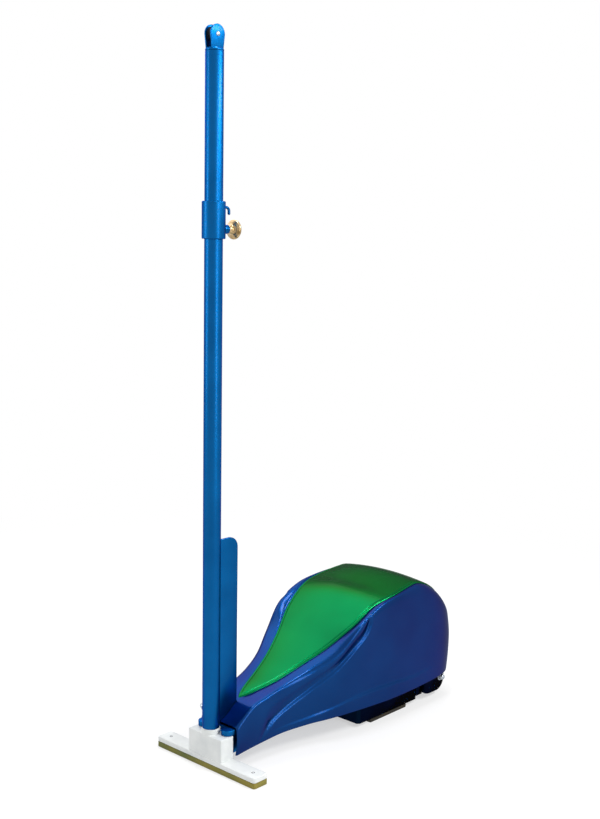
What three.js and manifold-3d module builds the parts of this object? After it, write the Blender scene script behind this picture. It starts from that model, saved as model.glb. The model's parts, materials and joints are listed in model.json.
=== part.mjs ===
import * as THREE from 'three';
import { mergeVertices } from 'three/addons/utils/BufferGeometryUtils.js';
import Module from 'manifold-3d';

// A free-standing badminton net post: foot, post tube with a cord pulley, a sliding cord
// tightener, and a wheeled weight base under a moulded cover.
// Millimetres, +Z up. The origin is on the floor under the axis of the post, the net is on the
// -Y side and the weight base runs out to +Y.

const wasm = await Module();
wasm.setup();

// Fits and overruns
const seatGap = 0.3;
const cutOverrun = 5;
const mergeDistance = 0.0001;

// Post
const overallHeight = 1550;
const tubeDiameter = 38.1;
const tubeWall = 3;
const tubeTopDrop = 52;

// Foot
const footLength = 307;
const footDepth = 41.5;
const footCornerRadius = 7;
const padThickness = 11.7;
const barThickness = 11.5;
const barEdgeRound = 2;
const blockWidth = 102;
const blockDepth = 37.6;
const blockHeight = 50.5;
const blockEdgeRound = 3;
const neckHeight = 11.5;
const neckFlare = 1;
const spigotHeight = 64;
const footScrewReach = 129.7;
const footScrewHead = 12;
const footScrewShank = 6;
const footScrewLength = 18;
const footScrewHeadHeight = 3;
const socketDepth = 1.2;

// Lock bolt through one wall of the tube into the spigot
const lockBoltRise = 40;
const lockBoltDiameter = 8;
const lockBoltBite = 9;
const lockDomeDiameter = 16;
const lockDomeHeight = 12;
const lockWasherDiameter = 19;
const lockWasherThickness = 1.6;

// Back plate welded behind the tube
const backPlateThickness = 6;
const backPlateReach = 74;
const backPlateTop = 496;
const backPlateCornerRadius = 24;

// Clevis and cord pulley
const clevisSpigotLength = 40;
const clevisShoulderHeight = 7;
const clevisShoulderInset = 3.5;
const cheekThickness = 3;
const cheekSpacing = 13.8;
const cheekBaseWidth = 30;
const pulleyDiameter = 30;
const pulleyWidth = 12.6;
const pulleyGrooveDepth = 5;
const pulleyRimWidth = 1.4;
const pinDiameter = 6;
const pinHeadDiameter = 9.5;
const pinHeadHeight = 1.5;

// Cord tightener that slides on the post
const sliderBottom = 1128;
const sliderHeight = 76;
const sliderDiameter = 48.9;
const sliderChamfer = 2.4;
const hookRodDiameter = 6;
const hookReach = 42.7;
const hookBendRadius = 8;
const hookDrop = 11.4;
const hookLegLength = 4.5;
const clampRise = 20;
const bossDiameter = 18.5;
const bossReach = 38.6;
const clampScrewDiameter = 8;
const clampTravel = 3;
const shoeDiameter = 11;
const shoeLength = 3.2;
const knobDiameter = 41;
const knobThickness = 8.5;
const knobNeckDiameter = 14;
const knobFootDiameter = 23;
const knobNeckLength = 13.5;

// Fork plate and weights
const plateThickness = 12;
const prongWidth = 29;
const forkSlotWidth = 43;
const prongTip = 1.5;
const plateWideHalf = 98;
const plateTaperLength = 150;
const plateTaperLead = 22;
const plateSetback = 48;
const railThickness = 8;
const railHeight = 34;
const railSpacing = 76;
const railStart = 28;
const weightRunOut = 20.7;
const weightLength = 226;
const weightWidth = 212;
const weightFloorGap = 8.3;
const weightChamfer = 6;
const slabWidth = 200;
const slabSetIn = 5;
const slabThickness = 45;
const slabCount = 2;
const slabEdgeRound = 8;
const tieSpacingX = 140;
const tieSpacingY = 150;
const tieDiameter = 12;
const tieHeadAcrossFlats = 18;
const tieHeadHeight = 7.5;
const tieWasherDiameter = 24;
const tieWasherThickness = 2.5;
const tieFloor = 28;
const restPadLength = 138;
const restPadWidth = 42;
const restPadSetback = 45;
const restPadEdgeRound = 3;

// Transport wheels
const wheelDiameter = 76;
const wheelFloorGap = 8;
const wheelSetback = 66;
const wheelInnerFace = 66;
const wheelWidth = 34;
const tyreThickness = 11;
const hubRimThickness = 5;
const hubWebThickness = 9;
const hubBossDiameter = 30;
const bushDiameter = 18;
const axleDiameter = 12;
const guardThickness = 4;
const guardRunningGap = 8;
const guardFront = 63;
const guardStep = 35;
const guardStepDrop = 26.5;
const guardRear = 18;
const guardFootDrop = 35;
const guardHeelRadius = 30;
const guardNeckReach = 14;
const guardNeckRise = 6;
const guardTopReach = 10;
const guardHeight = 8;
const guardEyeRadius = 18;
const axleNutDiameter = 16;
const axleNutHeight = 12.5;
const axleWasherDiameter = 20;
const axleWasherThickness = 2.2;

// Moulded cover
const coverFront = 24;
const coverLength = 724;
const coverHalfWidth = 138;
const coverHeight = 311;
const coverWall = 4;
const rearRoundLength = 188;
const rearRoundHeight = 150;
const rearTuck = 11;
const rearTuckHeight = 90;
const sideBulge = 4;
const scoopDepth = 7;
const scoopBlend = 12;
const skirtLedge = 3;
const skirtBlend = 4;
const rimNutClearance = 5.6;
const shoulderRound = 9;
const rearShoulderRound = 24;
const slotClearance = 1;
const panelThickness = 2.4;
const panelTipHalf = 3.5;
const panelLift = 0.6;
const panelFront = 80;
const panelSetback = 58;

// Cover fixing at the rear
const stayThickness = 3;
const stayWidth = 80;
const stayFootLength = 60;
const stayHeight = 56;
const coverScrewSpacing = 56;
const coverScrewRise = 42;
const coverScrewDiameter = 6;
const coverBossDiameter = 14;
const coverScrewHead = 12;
const coverScrewHeadHeight = 3.5;

// Facet counts
const tubeSides = 30;
const smallSides = 14;
const crownSteps = 4;
const rodSides = 12;
const wheelSides = 24;
const hexSides = 6;
const cornerSegments = 4;
const slabCornerSegments = 3;
const noseSegments = 8;
const heelSegments = 12;
const archSegments = 16;
const domeSteps = 5;
const hookSteps = 12;
const hookTipRings = 8;
const coverSideSteps = 16;
const coverRearSteps = 6;
const coverRimSteps = 12;

// Rails of the cover. Its stations lie along it at shares of its length, and each table after
// them has one value per station: the shoulder's half width as a share of the cover's, and the
// shoulder and centre line heights as shares of the cover's height.
const stationShares = [0, 0.03, 0.065, 0.12, 0.195, 0.278, 0.36, 0.443, 0.526, 0.616, 0.74, 1];
const shoulderHalfShares = [
  0.41, 0.411, 0.421, 0.445, 0.499, 0.639, 0.848, 0.969, 0.989, 0.979, 0.943, 0.886];
const shoulderHeightShares = [
  0.293, 0.35, 0.406, 0.443, 0.494, 0.567, 0.68, 0.868, 0.96, 0.989, 0.989, 0.969];
const centreHeightShares = [0.2935, 0.33, 0.391, 0.446, 0.504, 0.591, 0.7, 0.84, 0.965, 0.999, 1.036, 1.051];
const rimHalfShares = [0.4, 0.405, 0.412, 0.427, 0.46, 0.555, 0.685, 0.79, 0.87, 0.935, 0.968, 0.965];
// The rim's height as a share of its height at the rear, where it has to clear the axle nuts.
const rimHeightShares = [
  0.4544, 0.4998, 0.5453, 0.6058, 0.6967, 0.7573, 0.7876, 0.828, 0.8532, 0.8785, 0.9189, 0.9996];
// The panel edge as a share of the shoulder's half width, and how far it lies under the centre
// line as a share of the cover's height.
const panelHalfShares = [0, 0, 0, 0.278, 0.516, 0.615, 0.67, 0.776, 0.841, 0.907, 0.887, 0.849];
const panelCrownShares = [0, 0, 0, 0.006, 0.012, 0.018, 0.027, 0.034, 0.039, 0.027, 0.03, 0.03];
// Two body lines on the side, as shares of the cover's height: the lower edge of the scoop that
// sweeps up from the front, and the top of the skirt.
const scoopHeightShares = [0.16, 0.17, 0.185, 0.212, 0.305, 0.43, 0.545, 0.69, 0.83, 0.85, 0.85, 0.85];
const skirtHeightShares = [0.13, 0.14, 0.15, 0.165, 0.185, 0.205, 0.24, 0.28, 0.296, 0.298, 0.288, 0.34];
const scoopFadeShares = [0.1, 0.24, 0.42, 0.5];
const skirtFadeShares = [0.12, 0.26, 0.6, 0.86];
const rearPlanShare = 3.94;
const rearTopShares = [1.61, 1.4];
const rearFlatShare = 0.993;
const rearBunchShare = 1.8;
const shoulderMidShare = 0.3;
const shoulderGrowShares = [0.09, 0.62];
const bandRoundShare = 0.8;
const scoopWallShares = [0.35, 0.7];
const flankShares = [0.33, 0.67];

// Places worked out from the sizes above
const coverEnd = coverFront + coverLength;
const rearRoundStart = coverEnd - rearRoundLength;
const panelEnd = coverEnd - panelSetback;
const tubeRadius = tubeDiameter / 2;
const boreRadius = tubeRadius - tubeWall;
const barBottom = padThickness + seatGap;
const blockTop = barBottom + barThickness + blockHeight;
const neckTop = blockTop + neckHeight;
const tubeBottom = neckTop + seatGap;
const tubeTop = overallHeight - tubeTopDrop;
const pinHeight = overallHeight - tubeRadius;
const plateBottom = blockTop + seatGap;
const plateTop = plateBottom + plateThickness;
const forkHalf = forkSlotWidth / 2 + prongWidth;
const weightTop = plateBottom - seatGap;
const slabBottom = plateTop + seatGap;
const slabTop = slabBottom + slabCount * slabThickness + (slabCount - 1) * seatGap;
const axleHeight = wheelDiameter / 2 + wheelFloorGap;
const wheelPosition = coverEnd - wheelSetback;
const rimRearHeight = axleHeight + axleWasherDiameter / 2 + rimNutClearance;
const wheelOuterFace = wheelInnerFace + wheelWidth;
const guardInner = wheelInnerFace - guardRunningGap - guardThickness;
const plateTailHalf = guardInner - seatGap;
const plateShoulder = wheelPosition - guardFront - seatGap;
const plateEnd = coverEnd - plateSetback;
const weightFront = plateShoulder - weightRunOut - weightLength;
const weightMiddle = weightFront + weightLength / 2;
const slabLength = weightLength - 2 * slabSetIn;
const plateTaperEnd = weightFront - plateTaperLead;
const plateTaperStart = plateTaperEnd - plateTaperLength;
const guardOuter = wheelOuterFace + guardRunningGap + guardThickness;
const guardTop = axleHeight + wheelDiameter / 2 + guardHeight;
const stayTop = plateTop + seatGap + stayThickness;
const sliderBore = tubeRadius + seatGap;

function paint(color, roughness, metalness) {
  return new THREE.MeshStandardMaterial({ color, roughness, metalness });
}

const bluePaint = paint(0x0a5fae, 0.35, 0.3);
const whitePaint = paint(0xe2e5e4, 0.4, 0);
const oliveRubber = paint(0x7d7a42, 0.85, 0);
const brightSteel = paint(0xc9cdd2, 0.25, 1);
const brass = paint(0xcaa768, 0.25, 1);
const blackNylon = paint(0x191a1c, 0.6, 0);
const tyreRubber = paint(0x2a241c, 0.85, 0);
const ironPaint = paint(0x0c2138, 0.6, 0.2);
const blueGloss = paint(0x1b3a94, 0.2, 0.1);
const greenGloss = paint(0x008f45, 0.2, 0.1);

const part = new THREE.Group();

// Geometry helpers

function bare(geometry) {
  const copy = geometry.index ? geometry.toNonIndexed() : geometry.clone();
  copy.deleteAttribute('normal');
  copy.deleteAttribute('uv');
  return mergeVertices(copy, mergeDistance);
}

function solid(geometry) {
  const merged = bare(geometry);
  return new wasm.Manifold(new wasm.Mesh({
    numProp: 3,
    vertProperties: new Float32Array(merged.attributes.position.array),
    triVerts: new Uint32Array(merged.index.array),
  }));
}

function surface(body) {
  const mesh = body.getMesh();
  const geometry = new THREE.BufferGeometry();
  const places = [];
  for (let i = 0; i < mesh.vertProperties.length; i += mesh.numProp) {
    places.push(mesh.vertProperties[i], mesh.vertProperties[i + 1], mesh.vertProperties[i + 2]);
  }
  geometry.setAttribute('position', new THREE.Float32BufferAttribute(places, 3));
  geometry.setIndex(Array.from(mesh.triVerts));
  return geometry;
}

function joined(pieces) {
  return pieces.slice(1).reduce((whole, piece) => whole.add(piece), pieces[0]);
}

function cut(body, tools) {
  return tools.reduce((whole, tool) => whole.subtract(tool), body);
}

function addPart(name, body, material) {
  const geometry = body.isBufferGeometry ? bare(body) : surface(body);
  geometry.computeVertexNormals();
  const mesh = new THREE.Mesh(geometry, material);
  mesh.name = name;
  part.add(mesh);
  return mesh;
}

// Turns geometry built along Z so that it runs along X, Y or Z.
// Along X an outline's own x and y become y and z. Along Y they become -x and z.
const frames = {
  x: new THREE.Matrix4().makeBasis(
    new THREE.Vector3(0, 1, 0), new THREE.Vector3(0, 0, 1), new THREE.Vector3(1, 0, 0)),
  y: new THREE.Matrix4().makeBasis(
    new THREE.Vector3(-1, 0, 0), new THREE.Vector3(0, 0, 1), new THREE.Vector3(0, 1, 0)),
  z: new THREE.Matrix4(),
};

function prism(outline, axis, from, to, curveSegments = cornerSegments) {
  const depth = to - from;
  const geometry = new THREE.ExtrudeGeometry(outline, { depth, bevelEnabled: false, curveSegments });
  geometry.translate(0, 0, from);
  return geometry.applyMatrix4(frames[axis]);
}

function revolved(profile, axis, sides) {
  const points = profile.map(([radius, along]) => new THREE.Vector2(radius, along));
  const geometry = new THREE.LatheGeometry(points, sides);
  // A lathe turns about Y, so stand its axis up along Z first.
  geometry.rotateX(Math.PI / 2);
  return geometry.applyMatrix4(frames[axis]);
}

function rod(radius, axis, from, to, sides = smallSides) {
  return revolved([[0, from], [radius, from], [radius, to], [0, to]], axis, sides);
}

function outlineOf(points) {
  return new THREE.Shape(points.map(([a, b]) => new THREE.Vector2(a, b)));
}

function rectangle(left, right, low, high, radius = 0) {
  if (radius === 0) {
    return outlineOf([[left, low], [right, low], [right, high], [left, high]]);
  }
  const shape = new THREE.Shape();
  const quarter = Math.PI / 2;
  shape.absarc(right - radius, low + radius, radius, -quarter, 0);
  shape.absarc(right - radius, high - radius, radius, 0, quarter);
  shape.absarc(left + radius, high - radius, radius, quarter, 2 * quarter);
  shape.absarc(left + radius, low + radius, radius, 2 * quarter, 3 * quarter);
  shape.closePath();
  return shape;
}

function box(x0, x1, y0, y1, z0, z1) {
  return solid(prism(rectangle(x0, x1, y0, y1), 'z', z0, z1));
}

// A closed skin through rings of matching points. Each end is closed by rungs that join the
// ring's first and last points, then the next ones in, so the ring's two halves mirror each other.
function loft(rings) {
  const count = rings[0].length;
  const places = rings.flat().flatMap((point) => [point.x, point.y, point.z]);
  const faces = [];
  for (let i = 0; i + 1 < rings.length; i += 1) {
    for (let j = 0; j < count; j += 1) {
      const k = (j + 1) % count;
      const a = i * count + j;
      const b = i * count + k;
      const c = (i + 1) * count + j;
      const d = (i + 1) * count + k;
      faces.push(a, b, d, a, d, c);
    }
  }
  const last = (rings.length - 1) * count;
  for (let i = 0; i + 1 < count - 1 - i; i += 1) {
    const far = count - 1 - i;
    faces.push(i, far, i + 1, last + i, last + i + 1, last + far);
    if (i + 1 < far - 1) {
      faces.push(far, far - 1, i + 1, last + far, last + i + 1, last + far - 1);
    }
  }
  const geometry = new THREE.BufferGeometry();
  geometry.setAttribute('position', new THREE.Float32BufferAttribute(places, 3));
  geometry.setIndex(faces);
  return outward(geometry);
}

// Flips a closed mesh whose faces point inwards.
function outward(geometry) {
  const place = geometry.attributes.position;
  const index = geometry.index.array;
  let volume = 0;
  const corner = [new THREE.Vector3(), new THREE.Vector3(), new THREE.Vector3()];
  for (let i = 0; i < index.length; i += 3) {
    corner.forEach((point, j) => point.fromBufferAttribute(place, index[i + j]));
    volume += corner[0].dot(corner[1].cross(corner[2]));
  }
  if (volume < 0) {
    for (let i = 0; i < index.length; i += 3) {
      [index[i + 1], index[i + 2]] = [index[i + 2], index[i + 1]];
    }
  }
  return geometry;
}

// Foot: rubber pad, and a casting of bar, block, neck and spigot

function makeFoot() {
  const halfLength = footLength / 2;
  const halfDepth = footDepth / 2;
  const plan = rectangle(-halfLength, halfLength, -halfDepth, halfDepth, footCornerRadius);
  const pad = solid(prism(plan, 'z', 0, padThickness));
  const barTop = barBottom + barThickness;
  const innerPlan = rectangle(
    barEdgeRound - halfLength, halfLength - barEdgeRound, barEdgeRound - halfDepth, halfDepth - barEdgeRound,
    footCornerRadius - barEdgeRound);
  const barLower = solid(prism(plan, 'z', barBottom, barTop - barEdgeRound));
  const barUpper = solid(prism(innerPlan, 'z', barTop - barEdgeRound, barTop));
  const halfBlock = blockWidth / 2;
  const halfBlockDepth = blockDepth / 2;
  const blockSide = (inset) => rectangle(
    inset - halfBlock, halfBlock - inset, inset - halfBlockDepth, halfBlockDepth - inset, blockEdgeRound);
  const block = solid(prism(blockSide(0), 'z', barTop - barEdgeRound, blockTop - blockEdgeRound));
  const blockCrown = solid(prism(blockSide(blockEdgeRound / 2), 'z', blockTop - blockEdgeRound, blockTop));
  const spigotRadius = boreRadius - seatGap;
  const neckAndSpigot = solid(revolved([
    [0, barTop],
    [tubeRadius + neckFlare, barTop],
    [tubeRadius + neckFlare, blockTop],
    [tubeRadius, neckTop],
    [spigotRadius, neckTop],
    [spigotRadius, neckTop + spigotHeight - tubeWall],
    [spigotRadius - tubeWall, neckTop + spigotHeight],
    [0, neckTop + spigotHeight],
  ], 'z', tubeSides));
  const boltHole = solid(rod(lockBoltDiameter / 2 + seatGap, 'x', -tubeDiameter, -lockBoltBite + seatGap))
    .translate([0, 0, neckTop + lockBoltRise]);
  let casting = joined([barLower, barUpper, block, blockCrown, neckAndSpigot]);
  let drilledPad = pad;
  for (const side of [-1, 1]) {
    const x = side * footScrewReach;
    const hole = footScrewTool(seatGap).translate([x, 0, 0]);
    casting = casting.subtract(hole);
    drilledPad = drilledPad.subtract(hole);
    addPart(side < 0 ? 'foot_screw_left' : 'foot_screw_right', footScrew().translate([x, 0, 0]), brightSteel);
  }
  addPart('foot_pad', drilledPad, oliveRubber);
  addPart('foot_casting', casting.subtract(boltHole), whitePaint);
}

// The countersunk screw's solid, or with a gap the tool that cuts its hole.
function footScrewTool(gap) {
  const top = barBottom + barThickness;
  const rise = gap > 0 ? cutOverrun : 0;
  return solid(revolved([
    [0, top - footScrewLength - gap],
    [footScrewShank / 2 + gap, top - footScrewLength - gap],
    [footScrewShank / 2 + gap, top - footScrewHeadHeight - gap],
    [footScrewHead / 2 + gap, top - gap],
    [footScrewHead / 2 + gap, top + rise],
    [0, top + rise],
  ], 'z', smallSides));
}

function footScrew() {
  const top = barBottom + barThickness;
  const driver = solid(rod(footScrewShank / 2, 'z', top - socketDepth, top + cutOverrun, hexSides));
  return footScrewTool(0).subtract(driver);
}

// Post tube with its lock bolt

function makePost() {
  const boltHeight = neckTop + lockBoltRise;
  const wall = solid(revolved([
    [boreRadius, tubeBottom],
    [tubeRadius, tubeBottom],
    [tubeRadius, tubeTop],
    [boreRadius, tubeTop],
    [boreRadius, tubeBottom],
  ], 'z', tubeSides));
  const hole = solid(rod(lockBoltDiameter / 2 + seatGap, 'x', -tubeDiameter, -lockBoltBite))
    .translate([0, 0, boltHeight]);
  addPart('post_tube', wall.subtract(hole), bluePaint);

  const washerBack = -tubeRadius - seatGap;
  const washerFront = washerBack - lockWasherThickness;
  const domeBase = washerFront - lockDomeHeight / 3;
  const domeRadius = lockDomeDiameter / 2;
  const dome = [];
  for (let i = 0; i < domeSteps; i += 1) {
    const angle = (Math.PI / 2) * (i / domeSteps);
    dome.push([domeRadius * Math.cos(angle), domeBase - (lockDomeHeight * 2 / 3) * Math.sin(angle)]);
  }
  const profile = [
    [0, -lockBoltBite],
    [lockBoltDiameter / 2, -lockBoltBite],
    [lockBoltDiameter / 2, washerBack],
    [lockWasherDiameter / 2, washerBack],
    [lockWasherDiameter / 2, washerFront],
    [domeRadius, washerFront],
    ...dome,
    [0, washerFront - lockDomeHeight],
  ];
  const bolt = solid(outward(bare(revolved(profile, 'x', smallSides))));
  addPart('post_lock_bolt', bolt.translate([0, 0, boltHeight]), brightSteel);
}

// Upright plate that braces the tube against the fork plate

function makeBackPlate() {
  const near = tubeRadius + seatGap;
  const low = plateTop + seatGap;
  const shape = new THREE.Shape();
  shape.moveTo(near, low);
  shape.lineTo(backPlateReach, low);
  shape.lineTo(backPlateReach, backPlateTop - backPlateCornerRadius);
  shape.absarc(
    backPlateReach - backPlateCornerRadius, backPlateTop - backPlateCornerRadius, backPlateCornerRadius,
    0, Math.PI / 2);
  shape.lineTo(near, backPlateTop);
  shape.closePath();
  const halfThick = backPlateThickness / 2;
  addPart('back_plate', solid(prism(shape, 'x', -halfThick, halfThick, noseSegments)), bluePaint);
}

// Clevis plugged into the tube's top end, with a grooved pulley on a headed pin

function makeTop() {
  const shoulderTop = tubeTop + seatGap + clevisShoulderHeight;
  const plug = solid(revolved([
    [0, tubeTop - clevisSpigotLength],
    [boreRadius - seatGap, tubeTop - clevisSpigotLength],
    [boreRadius - seatGap, tubeTop + seatGap],
    [tubeRadius, tubeTop + seatGap],
    [tubeRadius, shoulderTop - clevisShoulderInset],
    [tubeRadius - clevisShoulderInset, shoulderTop],
    [0, shoulderTop],
  ], 'z', tubeSides));
  const cheekShape = new THREE.Shape();
  const lean = (tubeRadius - cheekBaseWidth / 2) / (pinHeight - shoulderTop);
  const tangent = Math.atan(lean);
  cheekShape.moveTo(-cheekBaseWidth / 2, shoulderTop - clevisShoulderHeight);
  cheekShape.lineTo(cheekBaseWidth / 2, shoulderTop - clevisShoulderHeight);
  cheekShape.absarc(0, pinHeight, tubeRadius, -tangent, Math.PI + tangent);
  cheekShape.closePath();
  const innerFace = cheekSpacing / 2;
  const outerFace = innerFace + cheekThickness;
  const pinHole = solid(rod(pinDiameter / 2 + seatGap, 'x', -tubeDiameter, tubeDiameter))
    .translate([0, 0, pinHeight]);
  const cheeks = [
    solid(prism(cheekShape, 'x', innerFace, outerFace, archSegments)),
    solid(prism(cheekShape, 'x', -outerFace, -innerFace, archSegments)),
  ];
  addPart('top_clevis', joined([plug, ...cheeks]).subtract(pinHole), bluePaint);

  const halfPin = outerFace + seatGap;
  const pin = solid(revolved([
    [0, -halfPin - pinHeadHeight],
    [pinHeadDiameter / 2, -halfPin - pinHeadHeight],
    [pinHeadDiameter / 2, -halfPin],
    [pinDiameter / 2, -halfPin],
    [pinDiameter / 2, halfPin],
    [pinHeadDiameter / 2, halfPin],
    [pinHeadDiameter / 2, halfPin + pinHeadHeight],
    [0, halfPin + pinHeadHeight],
  ], 'x', smallSides));
  addPart('pulley_pin', pin.translate([0, 0, pinHeight]), brightSteel);

  const rim = pulleyDiameter / 2;
  const root = rim - pulleyGrooveDepth;
  const halfWidth = pulleyWidth / 2;
  const grooveHalf = halfWidth - pulleyRimWidth;
  const boreOfPulley = pinDiameter / 2 + seatGap;
  const profile = [
    [boreOfPulley, -halfWidth],
    [rim, -halfWidth],
    [rim, -grooveHalf],
    [root + pulleyGrooveDepth / 4, -grooveHalf / 2],
    [root, 0],
    [root + pulleyGrooveDepth / 4, grooveHalf / 2],
    [rim, grooveHalf],
    [rim, halfWidth],
    [boreOfPulley, halfWidth],
    [boreOfPulley, -halfWidth],
  ];
  addPart('pulley', solid(revolved(profile, 'x', wheelSides)).translate([0, 0, pinHeight]), blackNylon);
}

// Sliding cord tightener: collar with boss, cord hook, and a clamp of knob, screw and shoe

function makeSlider() {
  const radius = sliderDiameter / 2;
  const top = sliderBottom + sliderHeight;
  const clampHeight = sliderBottom + clampRise;
  const sleeve = solid(revolved([
    [sliderBore, sliderBottom],
    [radius - sliderChamfer, sliderBottom],
    [radius, sliderBottom + sliderChamfer],
    [radius, top - sliderChamfer],
    [radius - sliderChamfer, top],
    [sliderBore, top],
    [sliderBore, sliderBottom],
  ], 'z', tubeSides));
  const boss = solid(rod(bossDiameter / 2, 'y', sliderBore, bossReach)).translate([0, 0, clampHeight]);
  const bore = solid(rod(sliderBore, 'z', sliderBottom - cutOverrun, top + cutOverrun, tubeSides));
  const screwHole = solid(rod(clampScrewDiameter / 2 + seatGap, 'y', 0, bossReach + cutOverrun));
  const shoeRoom = sliderBore + shoeLength + clampTravel + seatGap;
  const shoeHole = solid(rod(shoeDiameter / 2 + seatGap, 'y', 0, shoeRoom));
  const hookHeight = top - hookDrop;
  const hookSeat = solid(rod(hookRodDiameter / 2 + seatGap, 'y', 0, radius + cutOverrun, rodSides))
    .translate([0, 0, hookHeight]);
  const collar = cut(joined([sleeve, boss]), [
    bore,
    screwHole.translate([0, 0, clampHeight]),
    shoeHole.translate([0, 0, clampHeight]),
    hookSeat,
  ]);
  addPart('slider_collar', collar, bluePaint);
  addPart('cord_hook', makeHook(hookHeight), bluePaint);
  makeClamp(clampHeight);
}

function makeHook(hookHeight) {
  const route = new THREE.CurvePath();
  const bendStart = new THREE.Vector3(0, hookReach - hookBendRadius, hookHeight);
  const bendEnd = new THREE.Vector3(0, hookReach, hookHeight - hookBendRadius);
  const root = new THREE.Vector3(0, sliderBore + seatGap, hookHeight);
  const tip = new THREE.Vector3(0, hookReach, hookHeight - hookBendRadius - hookLegLength);
  const arcPull = hookBendRadius * (4 / 3) * (Math.SQRT2 - 1);
  route.add(new THREE.LineCurve3(root, bendStart));
  route.add(new THREE.CubicBezierCurve3(
    bendStart, bendStart.clone().add(new THREE.Vector3(0, arcPull, 0)),
    bendEnd.clone().add(new THREE.Vector3(0, 0, arcPull)), bendEnd));
  route.add(new THREE.LineCurve3(bendEnd, tip));
  const section = new THREE.Shape().absarc(0, 0, hookRodDiameter / 2, 0, 2 * Math.PI);
  const settings = { steps: hookSteps, extrudePath: route, curveSegments: rodSides / 2 };
  const bar = new THREE.ExtrudeGeometry(section, settings);
  const tipBall = new THREE.SphereGeometry(hookRodDiameter / 2, rodSides, hookTipRings);
  tipBall.rotateX(Math.PI / 2);
  tipBall.translate(tip.x, tip.y, tip.z);
  return solid(outward(bare(bar))).add(solid(tipBall));
}

function makeClamp(clampHeight) {
  const shoeFront = sliderBore;
  const shoeBack = shoeFront + shoeLength;
  const screwStart = shoeBack + seatGap;
  const knobBase = bossReach + seatGap;
  const neckEnd = knobBase + knobNeckLength;
  const shoe = solid(rod(shoeDiameter / 2, 'y', shoeFront, shoeBack));
  addPart('clamp_shoe', shoe.translate([0, 0, clampHeight]), brass);
  const screw = solid(revolved([
    [0, screwStart],
    [clampScrewDiameter / 2, screwStart],
    [clampScrewDiameter / 2, neckEnd - seatGap],
    [0, neckEnd - seatGap],
  ], 'y', smallSides));
  addPart('clamp_screw', screw.translate([0, 0, clampHeight]), brightSteel);
  const half = knobDiameter / 2;
  const rimRound = knobThickness / 4;
  const back = neckEnd + knobThickness;
  const boreOfKnob = clampScrewDiameter / 2 + seatGap;
  const knob = solid(revolved([
    [boreOfKnob, knobBase],
    [knobNeckDiameter / 2, knobBase],
    [knobNeckDiameter / 2, knobBase + knobNeckLength / 3],
    [knobFootDiameter / 2, knobBase + knobNeckLength * 2 / 3],
    [knobFootDiameter / 2, neckEnd - rimRound],
    [half - rimRound, neckEnd],
    [half, neckEnd + rimRound],
    [half, back - rimRound],
    [half - rimRound, back],
    [knobFootDiameter / 2, back + rimRound / 2],
    [0, back + rimRound],
    [0, neckEnd],
    [boreOfKnob, neckEnd],
    [boreOfKnob, knobBase],
  ], 'y', wheelSides));
  addPart('clamp_knob', knob.translate([0, 0, clampHeight]), brass);
}

// Fork plate, its two rails, and the weights bolted to it

function makeForkPlate() {
  const slotHalf = forkSlotWidth / 2;
  const noseRadius = prongWidth / 2;
  const noseCentre = slotHalf + noseRadius;
  const noseY = prongTip + noseRadius;
  const slotEnd = tubeRadius + neckFlare + seatGap;
  const shape = new THREE.Shape();
  shape.moveTo(slotHalf, slotEnd);
  shape.lineTo(slotHalf, noseY);
  shape.absarc(noseCentre, noseY, noseRadius, Math.PI, 2 * Math.PI);
  shape.lineTo(forkHalf, plateTaperStart);
  shape.lineTo(plateWideHalf, plateTaperEnd);
  shape.lineTo(plateWideHalf, plateShoulder);
  shape.lineTo(plateTailHalf, plateShoulder);
  shape.lineTo(plateTailHalf, plateEnd);
  shape.lineTo(-plateTailHalf, plateEnd);
  shape.lineTo(-plateTailHalf, plateShoulder);
  shape.lineTo(-plateWideHalf, plateShoulder);
  shape.lineTo(-plateWideHalf, plateTaperEnd);
  shape.lineTo(-forkHalf, plateTaperStart);
  shape.lineTo(-forkHalf, noseY);
  shape.absarc(-noseCentre, noseY, noseRadius, Math.PI, 2 * Math.PI);
  shape.lineTo(-slotHalf, slotEnd);
  shape.closePath();
  const plate = solid(prism(shape, 'z', plateBottom, plateTop, noseSegments));
  addPart('fork_plate', cut(plate, tieHoles()), bluePaint);

  const railTop = plateBottom - seatGap;
  for (const side of [-1, 1]) {
    const outer = side * (railSpacing + railThickness) / 2;
    const inner = side * (railSpacing - railThickness) / 2;
    const rail = box(
      Math.min(outer, inner), Math.max(outer, inner), railStart, weightFront - seatGap,
      railTop - railHeight, railTop);
    addPart(side < 0 ? 'rail_left' : 'rail_right', rail, bluePaint);
  }
}

function tiePlaces() {
  const places = [];
  for (const end of [-1, 1]) {
    for (const side of [-1, 1]) {
      places.push({ end, side, x: side * tieSpacingX / 2, y: weightMiddle + end * tieSpacingY / 2 });
    }
  }
  return places;
}

function tieHoles() {
  return tiePlaces().map(({ x, y }) => solid(
    rod(tieDiameter / 2 + seatGap, 'z', tieFloor - seatGap, slabTop + cutOverrun)).translate([x, y, 0]));
}

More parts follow.
